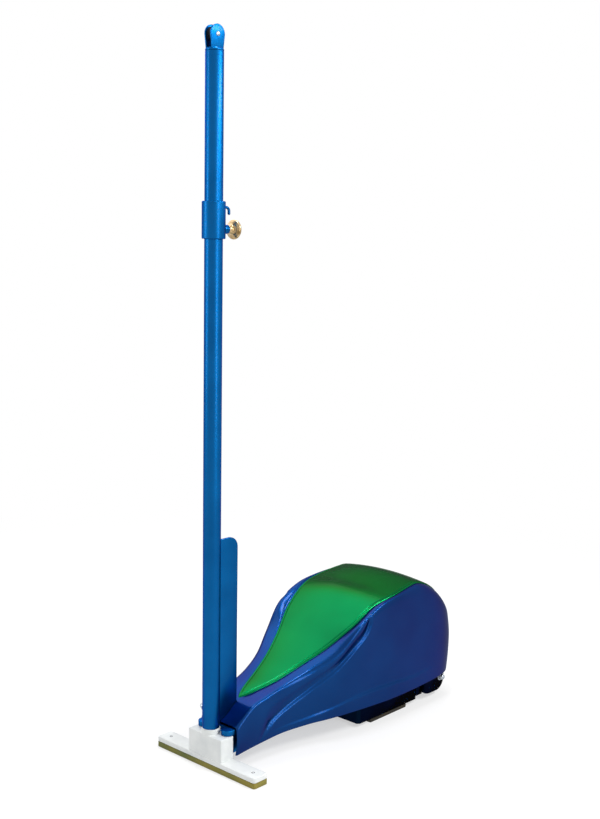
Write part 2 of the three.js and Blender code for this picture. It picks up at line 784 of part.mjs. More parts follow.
function makeWeights() {
  const halfWidth = weightWidth / 2;
  const half = weightLength / 2;
  const lowPlan = rectangle(-halfWidth, halfWidth, -half, half, weightChamfer);
  const lower = solid(prism(lowPlan, 'z', weightFloorGap, weightTop, slabCornerSegments))
    .translate([0, weightMiddle, 0]);
  addPart('lower_weight', cut(lower, tieHoles()), ironPaint);

  const slabPlan = rectangle(-slabWidth / 2, slabWidth / 2, -slabLength / 2, slabLength / 2, slabEdgeRound);
  for (let i = 0; i < slabCount; i += 1) {
    const low = slabBottom + i * (slabThickness + seatGap);
    const slab = solid(prism(slabPlan, 'z', low, low + slabThickness, slabCornerSegments))
      .translate([0, weightMiddle, 0]);
    addPart(`upper_weight_${i + 1}`, cut(slab, tieHoles()), ironPaint);
  }

  const washerTop = slabTop + seatGap + tieWasherThickness;
  for (const { end, side, x, y } of tiePlaces()) {
    const shank = solid(revolved([
      [0, tieFloor],
      [tieDiameter / 2, tieFloor],
      [tieDiameter / 2, slabTop + seatGap],
      [tieWasherDiameter / 2, slabTop + seatGap],
      [tieWasherDiameter / 2, washerTop],
      [0, washerTop],
    ], 'z', smallSides));
    const hexRadius = tieHeadAcrossFlats / Math.sqrt(3);
    const head = solid(rod(
      hexRadius, 'z', washerTop - tieWasherThickness / 2, washerTop + tieHeadHeight, hexSides));
    const name = `tie_bolt_${end < 0 ? 'front' : 'rear'}_${side < 0 ? 'left' : 'right'}`;
    addPart(name, shank.add(head).translate([x, y, 0]), brightSteel);
  }

  const padFront = weightFront + restPadSetback;
  for (const side of [-1, 1]) {
    const inner = weightWidth / 2 - restPadWidth;
    const outer = weightWidth / 2;
    const plan = rectangle(inner, outer, padFront, padFront + restPadLength, restPadEdgeRound);
    const pad = solid(prism(plan, 'z', 0, weightFloorGap - seatGap, slabCornerSegments));
    const placed = side < 0 ? pad.mirror([1, 0, 0]) : pad;
    addPart(side < 0 ? 'rest_pad_left' : 'rest_pad_right', placed, oliveRubber);
  }
}

// Transport wheels: guards, one through axle, dome nuts, hubs, bushes and tyres

function makeWheels() {
  const axleHole = solid(rod(axleDiameter / 2 + seatGap, 'x', 0, guardOuter + cutOverrun));
  const shape = new THREE.Shape();
  shape.moveTo(-guardFront, guardTop - axleHeight);
  shape.lineTo(-guardFront, -guardStepDrop);
  shape.lineTo(-guardStep, -guardStepDrop);
  shape.lineTo(-guardStep, -guardFootDrop);
  shape.absarc(
    guardRear - guardHeelRadius, guardHeelRadius - guardFootDrop, guardHeelRadius, -Math.PI / 2, 0);
  shape.lineTo(guardNeckReach, guardNeckRise);
  shape.lineTo(guardTopReach, guardTop - axleHeight);
  shape.closePath();
  const outerLeg = solid(prism(shape, 'x', guardOuter - guardThickness, guardOuter, heelSegments));
  const innerShape = new THREE.Shape();
  innerShape.moveTo(-guardFront, guardTop - axleHeight);
  innerShape.absarc(0, 0, guardEyeRadius, Math.PI, 2 * Math.PI);
  innerShape.lineTo(guardTopReach, guardTop - axleHeight);
  innerShape.closePath();
  const innerLeg = solid(prism(innerShape, 'x', guardInner, guardInner + guardThickness, noseSegments));
  const web = box(
    guardInner, guardOuter, -guardFront, guardTopReach,
    guardTop - axleHeight - guardThickness, guardTop - axleHeight);
  const guard = joined([outerLeg, innerLeg, web]).subtract(axleHole);
  const parts = [
    ['wheel_guard', guard, bluePaint],
    ['axle_nut', axleNut(), brightSteel],
    ['wheel_hub', wheelHub(), blackNylon],
    ['wheel_bush', wheelBush(), brass],
    ['tyre', tyre(), tyreRubber],
  ];
  for (const [name, body, material] of parts) {
    const placed = body.translate([0, wheelPosition, axleHeight]);
    addPart(`${name}_right`, placed, material);
    addPart(`${name}_left`, placed.mirror([1, 0, 0]), material);
  }
  const axleEnd = guardOuter + axleWasherThickness + axleNutHeight / 2;
  const axle = solid(rod(axleDiameter / 2, 'x', -axleEnd, axleEnd));
  addPart('wheel_axle', axle.translate([0, wheelPosition, axleHeight]), brightSteel);
}

function axleNut() {
  const start = guardOuter + seatGap;
  const washerEnd = start + axleWasherThickness;
  const domeStart = washerEnd + axleNutHeight / 2;
  const bore = axleDiameter / 2 + seatGap;
  const boreEnd = guardOuter + axleWasherThickness + axleNutHeight / 2 + seatGap;
  const half = axleNutDiameter / 2;
  const profile = [
    [bore, start],
    [axleWasherDiameter / 2, start],
    [axleWasherDiameter / 2, washerEnd],
    [half, washerEnd],
  ];
  for (let i = 0; i < domeSteps; i += 1) {
    const angle = (Math.PI / 2) * (i / domeSteps);
    profile.push([half * Math.cos(angle), domeStart + (axleNutHeight / 2) * Math.sin(angle)]);
  }
  profile.push([0, washerEnd + axleNutHeight], [0, boreEnd], [bore, boreEnd], [bore, start]);
  return solid(revolved(profile, 'x', smallSides));
}

function wheelHub() {
  const rim = wheelDiameter / 2 - tyreThickness - seatGap;
  const boss = hubBossDiameter / 2;
  const bore = bushDiameter / 2 + seatGap;
  const middle = wheelInnerFace + wheelWidth / 2;
  const low = wheelInnerFace + seatGap;
  const high = wheelOuterFace - seatGap;
  return solid(revolved([
    [bore, low],
    [boss, low],
    [boss, middle - hubWebThickness / 2],
    [rim - hubRimThickness, middle - hubWebThickness / 2],
    [rim - hubRimThickness, low],
    [rim, low],
    [rim, high],
    [rim - hubRimThickness, high],
    [rim - hubRimThickness, middle + hubWebThickness / 2],
    [boss, middle + hubWebThickness / 2],
    [boss, high],
    [bore, high],
    [bore, low],
  ], 'x', wheelSides));
}

function wheelBush() {
  const inner = axleDiameter / 2 + seatGap;
  const outer = bushDiameter / 2;
  const low = wheelInnerFace - guardRunningGap + seatGap;
  const high = wheelOuterFace + guardRunningGap - seatGap;
  return solid(revolved([
    [inner, low],
    [outer, low],
    [outer, high],
    [inner, high],
    [inner, low],
  ], 'x', smallSides));
}

function tyre() {
  const outer = wheelDiameter / 2;
  const inner = outer - tyreThickness;
  const round = tyreThickness / 3;
  return solid(revolved([
    [inner, wheelInnerFace],
    [outer - round, wheelInnerFace],
    [outer, wheelInnerFace + round],
    [outer, wheelOuterFace - round],
    [outer - round, wheelOuterFace],
    [inner, wheelOuterFace],
    [inner, wheelInnerFace],
  ], 'x', wheelSides));
}

// Moulded cover. Its skin is lofted through cross sections at stations along Y, whose points
// follow the rails above: centre line, panel edge, shoulder, scoop line, skirt line and rim.

// A smooth curve through a table of shares, read at a place along the cover.
function railAt(shares, y) {
  const place = THREE.MathUtils.clamp((y - coverFront) / coverLength, 0, 1);
  const last = stationShares.length - 1;
  let i = stationShares.findIndex((station) => station > place) - 1;
  i = i < 0 ? last - 1 : i;
  const slope = (k) => {
    const before = Math.max(k - 1, 0);
    const after = Math.min(k + 1, last);
    return (shares[after] - shares[before]) / (stationShares[after] - stationShares[before]);
  };
  const span = stationShares[i + 1] - stationShares[i];
  const t = (place - stationShares[i]) / span;
  const ease = t * t * (3 - 2 * t);
  const leave = t * (1 - t) * (1 - t) * span;
  const arrive = t * t * (t - 1) * span;
  return shares[i] * (1 - ease) + shares[i + 1] * ease + slope(i) * leave + slope(i + 1) * arrive;
}

// Rises from 0 to 1 and falls back to 0 between four stations given as shares.
function fade(y, [inStart, inEnd, outStart, outEnd]) {
  const place = (y - coverFront) / coverLength;
  const rise = THREE.MathUtils.smoothstep(place, inStart, inEnd);
  return rise * (1 - THREE.MathUtils.smoothstep(place, outStart, outEnd));
}

// How far the cover has closed towards its rounded rear end, and what that leaves of its width
// and of its height above the middle.
function rearClosing(y) {
  const t = THREE.MathUtils.clamp((y - rearRoundStart) / (coverEnd - rearRoundStart), 0, 1) * rearFlatShare;
  return {
    t,
    width: Math.pow(1 - Math.pow(t, rearPlanShare), 1 / rearPlanShare),
    height: Math.pow(1 - Math.pow(t, rearTopShares[0]), 1 / rearTopShares[1]),
  };
}

function raised(z, closing) {
  return z > rearRoundHeight ? rearRoundHeight + (z - rearRoundHeight) * closing.height : z;
}

// Half width of the smooth side between shoulder and rim, before the body lines are pressed in.
function sideAt(y, z) {
  const shoulder = railAt(shoulderHalfShares, y) * coverHalfWidth;
  const rim = railAt(rimHalfShares, y) * coverHalfWidth;
  const high = railAt(shoulderHeightShares, y) * coverHeight;
  const low = railAt(rimHeightShares, y) * rimRearHeight;
  const t = (high - z) / (high - low);
  return shoulder + (rim - shoulder) * t + sideBulge * Math.sin(Math.PI * THREE.MathUtils.clamp(t, 0, 1));
}

// The right half of a cross section, from the centre line down to the floor.
function halfSection(y, inset) {
  const shoulderX = railAt(shoulderHalfShares, y) * coverHalfWidth;
  const shoulderZ = railAt(shoulderHeightShares, y) * coverHeight;
  const centreZ = railAt(centreHeightShares, y) * coverHeight;
  const edgeX = panelHalf(y);
  const edgeZ = centreZ - railAt(panelCrownShares, y) * coverHeight;
  const scoop = scoopDepth * fade(y, scoopFadeShares);
  const ledge = skirtLedge * fade(y, skirtFadeShares);
  const skirtZ = railAt(skirtHeightShares, y) * coverHeight;
  const scoopZ = railAt(scoopHeightShares, y) * coverHeight;
  const sideRound = shoulderRoundAt(y);
  const topRound = Math.min(sideRound, (shoulderX - edgeX) * bandRoundShare);
  const topOfScoop = shoulderZ - sideRound;
  const points = [];
  for (let i = 0; i <= crownSteps; i += 1) {
    const u = i / crownSteps;
    points.push([edgeX * u, centreZ + (edgeZ - centreZ) * u * u]);
  }
  const flatX = shoulderX - topRound;
  const flatZ = shoulderZ + (edgeZ - shoulderZ) * topRound / (shoulderX - edgeX);
  points.push([(edgeX + flatX) / 2, (edgeZ + flatZ) / 2]);
  points.push([flatX, flatZ]);
  points.push([shoulderX - topRound * shoulderMidShare, shoulderZ - sideRound * shoulderMidShare]);
  points.push([sideAt(y, topOfScoop), topOfScoop]);
  for (const share of scoopWallShares) {
    const z = topOfScoop + (scoopZ + scoopBlend / 2 - topOfScoop) * share;
    points.push([sideAt(y, z) - scoop * share, z]);
  }
  points.push([sideAt(y, scoopZ + scoopBlend / 2) - scoop, scoopZ + scoopBlend / 2]);
  points.push([sideAt(y, scoopZ - scoopBlend / 2), scoopZ - scoopBlend / 2]);
  for (const share of flankShares) {
    const z = scoopZ - scoopBlend / 2 + (skirtZ + skirtBlend / 2 - scoopZ + scoopBlend / 2) * share;
    points.push([sideAt(y, z), z]);
  }
  points.push([sideAt(y, skirtZ + skirtBlend / 2), skirtZ + skirtBlend / 2]);
  points.push([sideAt(y, skirtZ - skirtBlend / 2) + ledge, skirtZ - skirtBlend / 2]);
  const rimX = railAt(rimHalfShares, y) * coverHalfWidth + ledge;
  points.push([rimX, railAt(rimHeightShares, y) * rimRearHeight]);
  points.push([rimX, 0]);
  const closing = rearClosing(y);
  const narrowed = 1 - inset / (shoulderX * closing.width);
  return points.map(([x, z]) => {
    const lifted = raised(z, closing);
    return {
      x: x * closing.width * narrowed,
      y: y - tuckedIn(lifted) * closing.t * closing.t,
      z: z > 0 ? lifted - inset : 0,
    };
  });
}

// How far the lower part of the rear wall leans in under the upper part.
function tuckedIn(z) {
  return rearTuck * Math.pow(Math.max(0, rearRoundHeight - z) / rearTuckHeight, 2);
}

// The rounding along the shoulder grows from the front to the rear.
function shoulderRoundAt(y) {
  const [start, end] = shoulderGrowShares;
  const grown = THREE.MathUtils.smoothstep((y - coverFront) / coverLength, start, end);
  return shoulderRound + (rearShoulderRound - shoulderRound) * grown;
}

function panelHalf(y) {
  return Math.max(railAt(panelHalfShares, y) * railAt(shoulderHalfShares, y) * coverHalfWidth, panelTipHalf);
}

function ringAt(y, inset) {
  const right = halfSection(y, inset);
  const left = right.slice(1).reverse().map((point) => ({ ...point, x: -point.x }));
  return [...left, ...right];
}

function stationsBetween(start, end, count, bunching = 1) {
  const places = [];
  for (let i = 0; i <= count; i += 1) {
    places.push(start + (end - start) * (1 - Math.pow(1 - i / count, bunching)));
  }
  return places;
}

// The stations bunch up towards the rounded rear end.
function coverStations() {
  return [
    ...stationsBetween(coverFront, rearRoundStart, coverSideSteps),
    ...stationsBetween(rearRoundStart, coverEnd, coverRearSteps, rearBunchShare).slice(1),
  ];
}

function makeCover() {
  const stations = coverStations();
  const outer = solid(loft(stations.map((y) => ringAt(y, 0))));
  const innerRings = stations.map((y) => ringAt(y, coverWall));
  const mouth = innerRings[0].map((point) => ({ ...point, y: coverFront - cutOverrun }));
  const rearScale = (coverLength - coverWall) / coverLength;
  innerRings.forEach((ring) => ring.forEach((point) => {
    point.y = coverFront + (point.y - coverFront) * rearScale;
  }));
  const inner = solid(loft([mouth, ...innerRings]));
  const rimPoints = stationsBetween(coverFront, coverEnd, coverRimSteps)
    .map((y) => [y, railAt(rimHeightShares, y) * rimRearHeight]);
  const below = solid(prism(outlineOf([
    [coverFront - cutOverrun, -cutOverrun],
    [coverEnd + cutOverrun, -cutOverrun],
    [coverEnd + cutOverrun, rimPoints[rimPoints.length - 1][1]],
    ...rimPoints.slice(0, -1).reverse(),
    [coverFront - cutOverrun, rimPoints[0][1]],
  ]), 'x', -coverHalfWidth - cutOverrun * 2, coverHalfWidth + cutOverrun * 2));
  const slotHalf = backPlateThickness / 2 + slotClearance;
  const slot = box(
    -slotHalf, slotHalf, coverFront - cutOverrun, backPlateReach + slotClearance,
    plateTop, coverHeight);
  const plateRelief = box(
    -forkHalf - seatGap, forkHalf + seatGap, coverFront - cutOverrun, plateTaperStart / 2,
    plateBottom, plateTop + seatGap);
  const bosses = coverScrewRods(coverBossDiameter / 2, stayFace() + seatGap, coverEnd - coverWall / 2);
  const holes = coverScrewRods(coverScrewDiameter / 2 + seatGap, plateEnd, coverEnd + cutOverrun);
  const shell = cut(joined([outer.subtract(inner), ...bosses]), [below, slot, plateRelief, ...holes]);
  addPart('cover_shell', shell, blueGloss);
  makePanel();
  makeCoverFixing();
}

// The panel lies on the cover's crown, between the same rails and at the same stations, so that
// its facets follow the cover's.
function makePanel() {
  const crossSteps = 2 * crownSteps;
  const places = coverStations().filter((y) => y > panelFront && y < panelEnd);
  const rings = places.map((y) => {
    const closing = rearClosing(y);
    const centreZ = railAt(centreHeightShares, y) * coverHeight;
    const drop = railAt(panelCrownShares, y) * coverHeight;
    const half = panelHalf(y);
    const at = (u, lift) => ({
      x: half * u * closing.width,
      y,
      z: raised(centreZ - drop * u * u, closing) + lift,
    });
    const ring = [];
    for (let i = 0; i <= crossSteps; i += 1) {
      ring.push(at(1 - 2 * i / crossSteps, panelLift));
    }
    for (let i = 0; i <= crossSteps; i += 1) {
      ring.push(at(2 * i / crossSteps - 1, panelLift + panelThickness));
    }
    return ring;
  });
  addPart('cover_panel', solid(loft(rings)), greenGloss);
}

// A pair of rods along the two screws through the cover's rear wall, as bosses or hole tools.
function coverScrewRods(radius, from, to) {
  return [-1, 1].map((side) => solid(rod(radius, 'y', from, to))
    .translate([side * coverScrewSpacing / 2, 0, stayTop + coverScrewRise]));
}

// Where the stay's upright meets the inside of the rear wall.
function stayFace() {
  return coverEnd - coverWall - tuckedIn(plateTop) - seatGap;
}

// A bent stay on the fork plate's tail takes the cover's two screws.
function makeCoverFixing() {
  const face = stayFace();
  const low = plateTop + seatGap;
  const foot = box(-stayWidth / 2, stayWidth / 2, plateEnd - stayFootLength, face, low, stayTop);
  const upright = box(-stayWidth / 2, stayWidth / 2, face - stayThickness, face, low, stayTop + stayHeight);
  const holes = coverScrewRods(coverScrewDiameter / 2 + seatGap, plateEnd, coverEnd);
  addPart('cover_stay', cut(foot.add(upright), holes), ironPaint);
  const headSeat = coverEnd + seatGap;
  const screw = solid(revolved([
    [0, face - stayThickness * 2],
    [coverScrewDiameter / 2, face - stayThickness * 2],
    [coverScrewDiameter / 2, headSeat],
    [coverScrewHead / 2, headSeat],
    [coverScrewHead / 2, headSeat + coverScrewHeadHeight / 2],
    [coverScrewHead / 4, headSeat + coverScrewHeadHeight],
    [0, headSeat + coverScrewHeadHeight],
  ], 'y', smallSides));
  for (const side of [-1, 1]) {
    const placed = screw.translate([side * coverScrewSpacing / 2, 0, stayTop + coverScrewRise]);
    addPart(side < 0 ? 'cover_screw_left' : 'cover_screw_right', placed, brightSteel);
  }
}

makeFoot();
makePost();
makeBackPlate();
makeTop();
makeSlider();
makeForkPlate();
makeWeights();
makeWheels();
makeCover();

export default part;
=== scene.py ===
"""Looks of a free-standing badminton net post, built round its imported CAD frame.

The origin is on the floor under the post's axis. The net is on the -Y side and the weight base
runs out to +Y. Sizes in the classes are millimetres, as in the part's source, and every mesh is
scaled to metres when it becomes a piece.
"""

import json
import logging
import math
from collections.abc import Callable, Sequence
from dataclasses import dataclass
from enum import Enum
from functools import cached_property

import bmesh
import bpy
from mathutils import Matrix, Vector


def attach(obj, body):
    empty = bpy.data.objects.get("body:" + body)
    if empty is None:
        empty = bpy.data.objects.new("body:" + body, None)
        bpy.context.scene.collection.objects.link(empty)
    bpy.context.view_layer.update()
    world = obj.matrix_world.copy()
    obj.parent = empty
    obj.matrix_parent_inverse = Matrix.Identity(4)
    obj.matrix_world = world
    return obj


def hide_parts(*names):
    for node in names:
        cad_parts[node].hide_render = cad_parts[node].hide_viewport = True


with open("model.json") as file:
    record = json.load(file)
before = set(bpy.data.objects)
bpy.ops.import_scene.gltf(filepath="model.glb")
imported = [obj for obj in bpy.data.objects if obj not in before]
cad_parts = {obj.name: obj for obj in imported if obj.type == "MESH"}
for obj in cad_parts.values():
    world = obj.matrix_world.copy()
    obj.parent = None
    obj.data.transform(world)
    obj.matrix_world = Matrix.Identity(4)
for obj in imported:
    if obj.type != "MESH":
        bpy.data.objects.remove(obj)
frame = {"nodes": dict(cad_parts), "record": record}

LOG = logging.getLogger("net_post")

# One millimetre in metres, and the clearance between touching pieces in millimetres.
MM = 0.001
GAP = 0.3

# Corners straighter than this stay as they are, and a rounding takes at most this share of an edge.
STRAIGHT_DEGREES = 155
ROUNDING_SHARE = 0.48

# Edges that turn by more degrees than this are softened.
SHARP_DEGREES = 38

# Vertices closer than these millimetres are merged: after turning, and across the mirror plane.
TURNING_MERGE = 0.0005
MIRROR_REACH = 0.01
MIRROR_MERGE = 0.001

# The middle part of a noise, in which nearly all its values lie.
NOISE_MIDDLE = (0.3, 0.7)

Point = tuple[float, float]
Place = tuple[float, float, float]
Colour = tuple[int, int, int]
Socket = bpy.types.NodeSocket


class Slot(Enum):
    """The record's material slots."""

    BLUE_PAINT = "blue_paint"
    WHITE_PAINT = "white_paint"
    OLIVE_RUBBER = "olive_rubber"
    BRIGHT_STEEL = "bright_steel"
    BRASS = "brass"
    BLACK_NYLON = "black_nylon"
    TYRE_RUBBER = "tyre_rubber"
    IRON_PAINT = "iron_paint"
    BLUE_GLOSS = "blue_gloss"
    GREEN_GLOSS = "green_gloss"


class Axis(Enum):
    """The direction that a turned shape or a plate's thickness runs along."""

    X = "x"
    Y = "y"
    Z = "z"

    @property
    def frame(self) -> Matrix:
        """Turns a shape built along Z so that it runs along this axis."""
        if self is Axis.X:
            return Matrix(((0, 0, 1), (1, 0, 0), (0, 1, 0)))
        if self is Axis.Y:
            return Matrix(((-1, 0, 0), (0, 0, 1), (0, 1, 0)))
        return Matrix.Identity(3)


class Side(Enum):
    """The two sides of the post, left being -X."""

    LEFT = -1
    RIGHT = 1

    @property
    def label(self) -> str:
        """The side's word in node names."""
        return self.name.lower()


def to_linear(colour: Colour) -> tuple[float, float, float, float]:
    """Turns a colour written as 0 to 255 into Blender's linear values.

    Args:
        colour: Red, green and blue.

    Returns:
        Linear red, green, blue and a full alpha.
    """

    def channel(value: int) -> float:
        """One channel's linear value."""
        share = value / 255
        return share / 12.92 if share <= 0.04045 else ((share + 0.055) / 1.055) ** 2.4

    red, green, blue = colour
    return channel(red), channel(green), channel(blue), 1.0


def clamped(value: float) -> float:
    """The value, held between 0 and 1."""
    return min(max(value, 0.0), 1.0)


def smoothstep(value: float, start: float, end: float) -> float:
    """The share of a smooth rise, 0 while the value is below start and 1 past end."""
    share = clamped((value - start) / (end - start))
    return share * share * (3 - 2 * share)


def bell(value: float, centre: float, width: float) -> float:
    """A smooth bump, 1 high at the centre and fallen to about a third one width from it."""
    return math.exp(-(((value - centre) / width) ** 2))


def bent(start: Vector, bend: Vector, end: Vector, share: float) -> Point:
    """The point at a share of the way along the curve that rounds the corner at the bend."""
    spot = start * (1 - share) ** 2 + bend * (2 * share * (1 - share)) + end * share**2
    return spot.x, spot.y


def eased(
    points: Sequence[Point], radius: float, steps: int = 3, closed: bool = True
) -> list[Point]:
    """Rounds the corners of an outline or a profile.

    Args:
        points: The corners in order.
        radius: How far from each corner its rounding starts.
        steps: How many edges each rounding has.
        closed: Whether the last corner joins the first.

    Returns:
        The rounded points.
    """
    count = len(points)
    rounded: list[Point] = []
    for index, corner in enumerate(points):
        here = Vector(corner)
        before = Vector(points[index - 1]) - here
        after = Vector(points[(index + 1) % count]) - here
        is_end = not closed and index in (0, count - 1)
        if is_end or before.angle(after) > math.radians(STRAIGHT_DEGREES):
            rounded.append(corner)
            continue
        reach = min(radius, before.length * ROUNDING_SHARE, after.length * ROUNDING_SHARE)
        start = here + before.normalized() * reach
        end = here + after.normalized() * reach
        rounded += [bent(start, here, end, step / steps) for step in range(steps + 1)]
    return rounded


def arc(centre: Point, radius: float, start: float, end: float, steps: int) -> list[Point]:
    """Points along an arc.

    Args:
        centre: The arc's centre.
        radius: Its radius.
        start: The first point's angle in degrees.
        end: The last point's angle in degrees.
        steps: How many edges it has.

    Returns:
        The points, both ends among them.
    """
    points: list[Point] = []
    for step in range(steps + 1):
        angle = math.radians(start + (end - start) * step / steps)
        points.append((centre[0] + radius * math.cos(angle), centre[1] + radius * math.sin(angle)))
    return points


def rectangle(left: float, right: float, low: float, high: float) -> list[Point]:
    """The four corners of a rectangle, counterclockwise."""
    return [(left, low), (right, low), (right, high), (left, high)]


def shifted(profile: Sequence[Point], start: float) -> list[Point]:
    """A profile of radii and distances past its start, put where that lies along the axis."""
    return [(radius, start + along) for radius, along in profile]


def doubled(
    half: Sequence[Point], middle: float = 0.0, between: Sequence[Point] = ()
) -> list[Point]:
    """A profile of a half, the points between, and the half mirrored about the middle."""
    return [*half, *between, *((radius, 2 * middle - along) for radius, along in reversed(half))]


def add_object(name: str, data: bpy.types.ID) -> bpy.types.Object:
    """Puts a new object in the scene.

    Args:
        name: Its name.
        data: Its mesh, lamp or camera.

    Returns:
        The object.
    """
    made = bpy.data.objects.new(name, data)
    bpy.context.scene.collection.objects.link(made)
    return made


class NodeGraph:
    """The node tree of a material or a world, with short ways to add and join its nodes."""

    def __init__(self, owner: bpy.types.Material | bpy.types.World) -> None:
        """Starts an empty tree.

        Args:
            owner: The new material or world.
        """
        owner.use_nodes = True
        self.owner = owner
        self.tree = owner.node_tree
        self.tree.nodes.clear()

    @cached_property
    def places(self) -> Socket:
        """The object's own coordinates."""
        return self.add("ShaderNodeTexCoord").outputs["Object"]

    def add(self, kind: str, **settings: object) -> bpy.types.Node:
        """Adds a node.

        Args:
            kind: The node's type.
            **settings: Properties of the node.

        Returns:
            The new node.
        """
        node = self.tree.nodes.new(kind)
        for key, value in settings.items():
            setattr(node, key, value)
        return node

    def join(self, start: Socket, end: Socket) -> None:
        """Joins an output to an input."""
        self.tree.links.new(start, end)

    def mapped(self, scale: Place, move: Place) -> Socket:
        """Object coordinates, scaled and then moved.

        Args:
            scale: The share kept along each axis.
            move: What is added afterwards, in metres.

        Returns:
            The changed coordinates.
        """
        node = self.add("ShaderNodeMapping")
        node.inputs["Scale"].default_value = scale
        node.inputs["Location"].default_value = move
        self.join(self.places, node.inputs["Vector"])
        return node.outputs["Vector"]

    def noise(self, scale: float, detail: float = 2.0) -> Socket:
        """Soft noise over the piece.

        Args:
            scale: Waves per metre.
            detail: How many finer layers it has.

        Returns:
            The noise between 0 and 1.
        """
        node = self.add("ShaderNodeTexNoise")
        node.inputs["Scale"].default_value = scale
        node.inputs["Detail"].default_value = detail
        self.join(self.places, node.inputs["Vector"])
        return node.outputs["Fac"]

    def cells(self, scale: float) -> Socket:
        """Distances to scattered cell centres.

        Args:
            scale: Cells per metre.

        Returns:
            The distance in each cell.
        """
        node = self.add("ShaderNodeTexVoronoi")
        node.inputs["Scale"].default_value = scale
        self.join(self.places, node.inputs["Vector"])
        return node.outputs["Distance"]

    def length(self, vector: Socket) -> Socket:
        """The length of a vector.

        Args:
            vector: The vector's output.

        Returns:
            The length.
        """
        node = self.add("ShaderNodeVectorMath", operation="LENGTH")
        self.join(vector, node.inputs[0])
        return node.outputs["Value"]

    def maths(self, operation: str, first: Socket, second: float | Socket) -> Socket:
        """Joins two values with an operation.

        Args:
            operation: Blender's name for it.
            first: The first value.
            second: The second value.

        Returns:
            The result.
        """
        node = self.add("ShaderNodeMath", operation=operation)
        self.join(first, node.inputs[0])
        if isinstance(second, Socket):
            self.join(second, node.inputs[1])
        else:
            node.inputs[1].default_value = second
        return node.outputs[0]

    def blend(self, first: Socket, second: Socket, share: float) -> Socket:
        """The sum of two values, the first weighted by the share and the second by the rest."""
        kept = self.maths("MULTIPLY", first, share)
        return self.maths("ADD", kept, self.maths("MULTIPLY", second, 1 - share))

    def spread(self, value: Socket, low: float, high: float) -> Socket:
        """Spreads the middle of a noise between two values.

        Args:
            value: The noise.
            low: The result where the noise is low.
            high: The result where the noise is high.

        Returns:
            The spread value.
        """
        node = self.add("ShaderNodeMapRange")
        names = "From Min", "From Max", "To Min", "To Max"
        for name, limit in zip(names, (*NOISE_MIDDLE, low, high)):
            node.inputs[name].default_value = limit
        self.join(value, node.inputs["Value"])
        return node.outputs["Result"]

    def tones(self, value: Socket, stops: Sequence[tuple[float, Colour]]) -> Socket:
        """Turns a value into a colour.

        Args:
            value: Between 0 and 1.
            stops: Places along it with their colours, in order.

        Returns:
            The colour.
        """
        node = self.add("ShaderNodeValToRGB")
        band = node.color_ramp.elements
        while len(band) < len(stops):
            band.new(0.5)
        for element, (place, colour) in zip(band, stops):
            element.position = place
            element.color = to_linear(colour)
        self.join(value, node.inputs["Fac"])
        return node.outputs["Color"]

    def relief(self, height: Socket, depth: float, strength: float) -> Socket:
        """Bumps the surface.

        Args:
            height: The height as a share.
            depth: What a full share means, in millimetres.
            strength: The share of the bump that is kept.

        Returns:
            The bumped normal.
        """
        node = self.add("ShaderNodeBump")
        node.inputs["Strength"].default_value = strength
        node.inputs["Distance"].default_value = depth * MM
        self.join(height, node.inputs["Height"])
        return node.outputs["Normal"]

    def glow(self, kind: str, strength: float) -> Socket:
        """A white glow.

        Args:
            kind: The node's type, an emission or a background.
            strength: Its strength, 1 being white.

        Returns:
            The shader's output.
        """
        node = self.add(kind)
        node.inputs["Color"].default_value = (1.0, 1.0, 1.0, 1.0)
        node.inputs["Strength"].default_value = strength
        return node.outputs[0]

    def diffuse(self, share: float) -> Socket:
        """A matt grey surface.

        Args:
            share: The share of the light that it gives back.

        Returns:
            The shader's output.
        """
        node = self.add("ShaderNodeBsdfDiffuse")
        node.inputs["Color"].default_value = (share, share, share, 1.0)
        return node.outputs[0]

    def seen_directly(self) -> Socket:
        """Tells rays from the camera and reflected and transmitted rays from all others.

        Returns:
            1 for them and 0 for the others.
        """
        path = self.add("ShaderNodeLightPath")
        first = self.maths("MAXIMUM", path.outputs["Is Camera Ray"], path.outputs["Is Glossy Ray"])
        return self.maths("MAXIMUM", first, path.outputs["Is Transmission Ray"])

    def mixed(self, share: Socket, first: Socket, second: Socket) -> Socket:
        """Mixes two shaders.

        Args:
            share: The weight of the second.
            first: The first shader.
            second: The second shader.

        Returns:
            The mixed shader's output.
        """
        node = self.add("ShaderNodeMixShader")
        for index, socket in enumerate((share, first, second)):
            self.join(socket, node.inputs[index])
        return node.outputs[0]

    def end(self, surface: Socket, kind: str = "ShaderNodeOutputMaterial") -> None:
        """Ends the tree in a shader."""
        self.join(surface, self.add(kind).inputs["Surface"])

    def close(
        self, colour: Socket, roughness: Socket, normal: Socket,
        **constants: float | tuple[float, float, float, float],
    ) -> None:
        """Ends the tree in one surface shader.

        Args:
            colour: The base colour.
            roughness: The roughness.
            normal: The bumped normal.
            **constants: Other sockets of the shader, with underscores for spaces.
        """
        shader = self.add("ShaderNodeBsdfPrincipled")
        self.join(colour, shader.inputs["Base Color"])
        self.join(roughness, shader.inputs["Roughness"])
        self.join(normal, shader.inputs["Normal"])
        for key, value in constants.items():
            shader.inputs[key.replace("_", " ")].default_value = value
        self.end(shader.outputs["BSDF"])


@dataclass(frozen=True)
class Finish:
    """One kind of surface, which builds its own material."""

    name: str

    def make(self) -> bpy.types.Material:
        """Builds the material.

        Returns:
            The finished material.
        """
        graph = NodeGraph(bpy.data.materials.new(self.name))
        self.wire(graph)
        return graph.owner

    def wire(self, graph: NodeGraph) -> None:
        """Adds the surface's nodes to its empty tree."""
        raise NotImplementedError


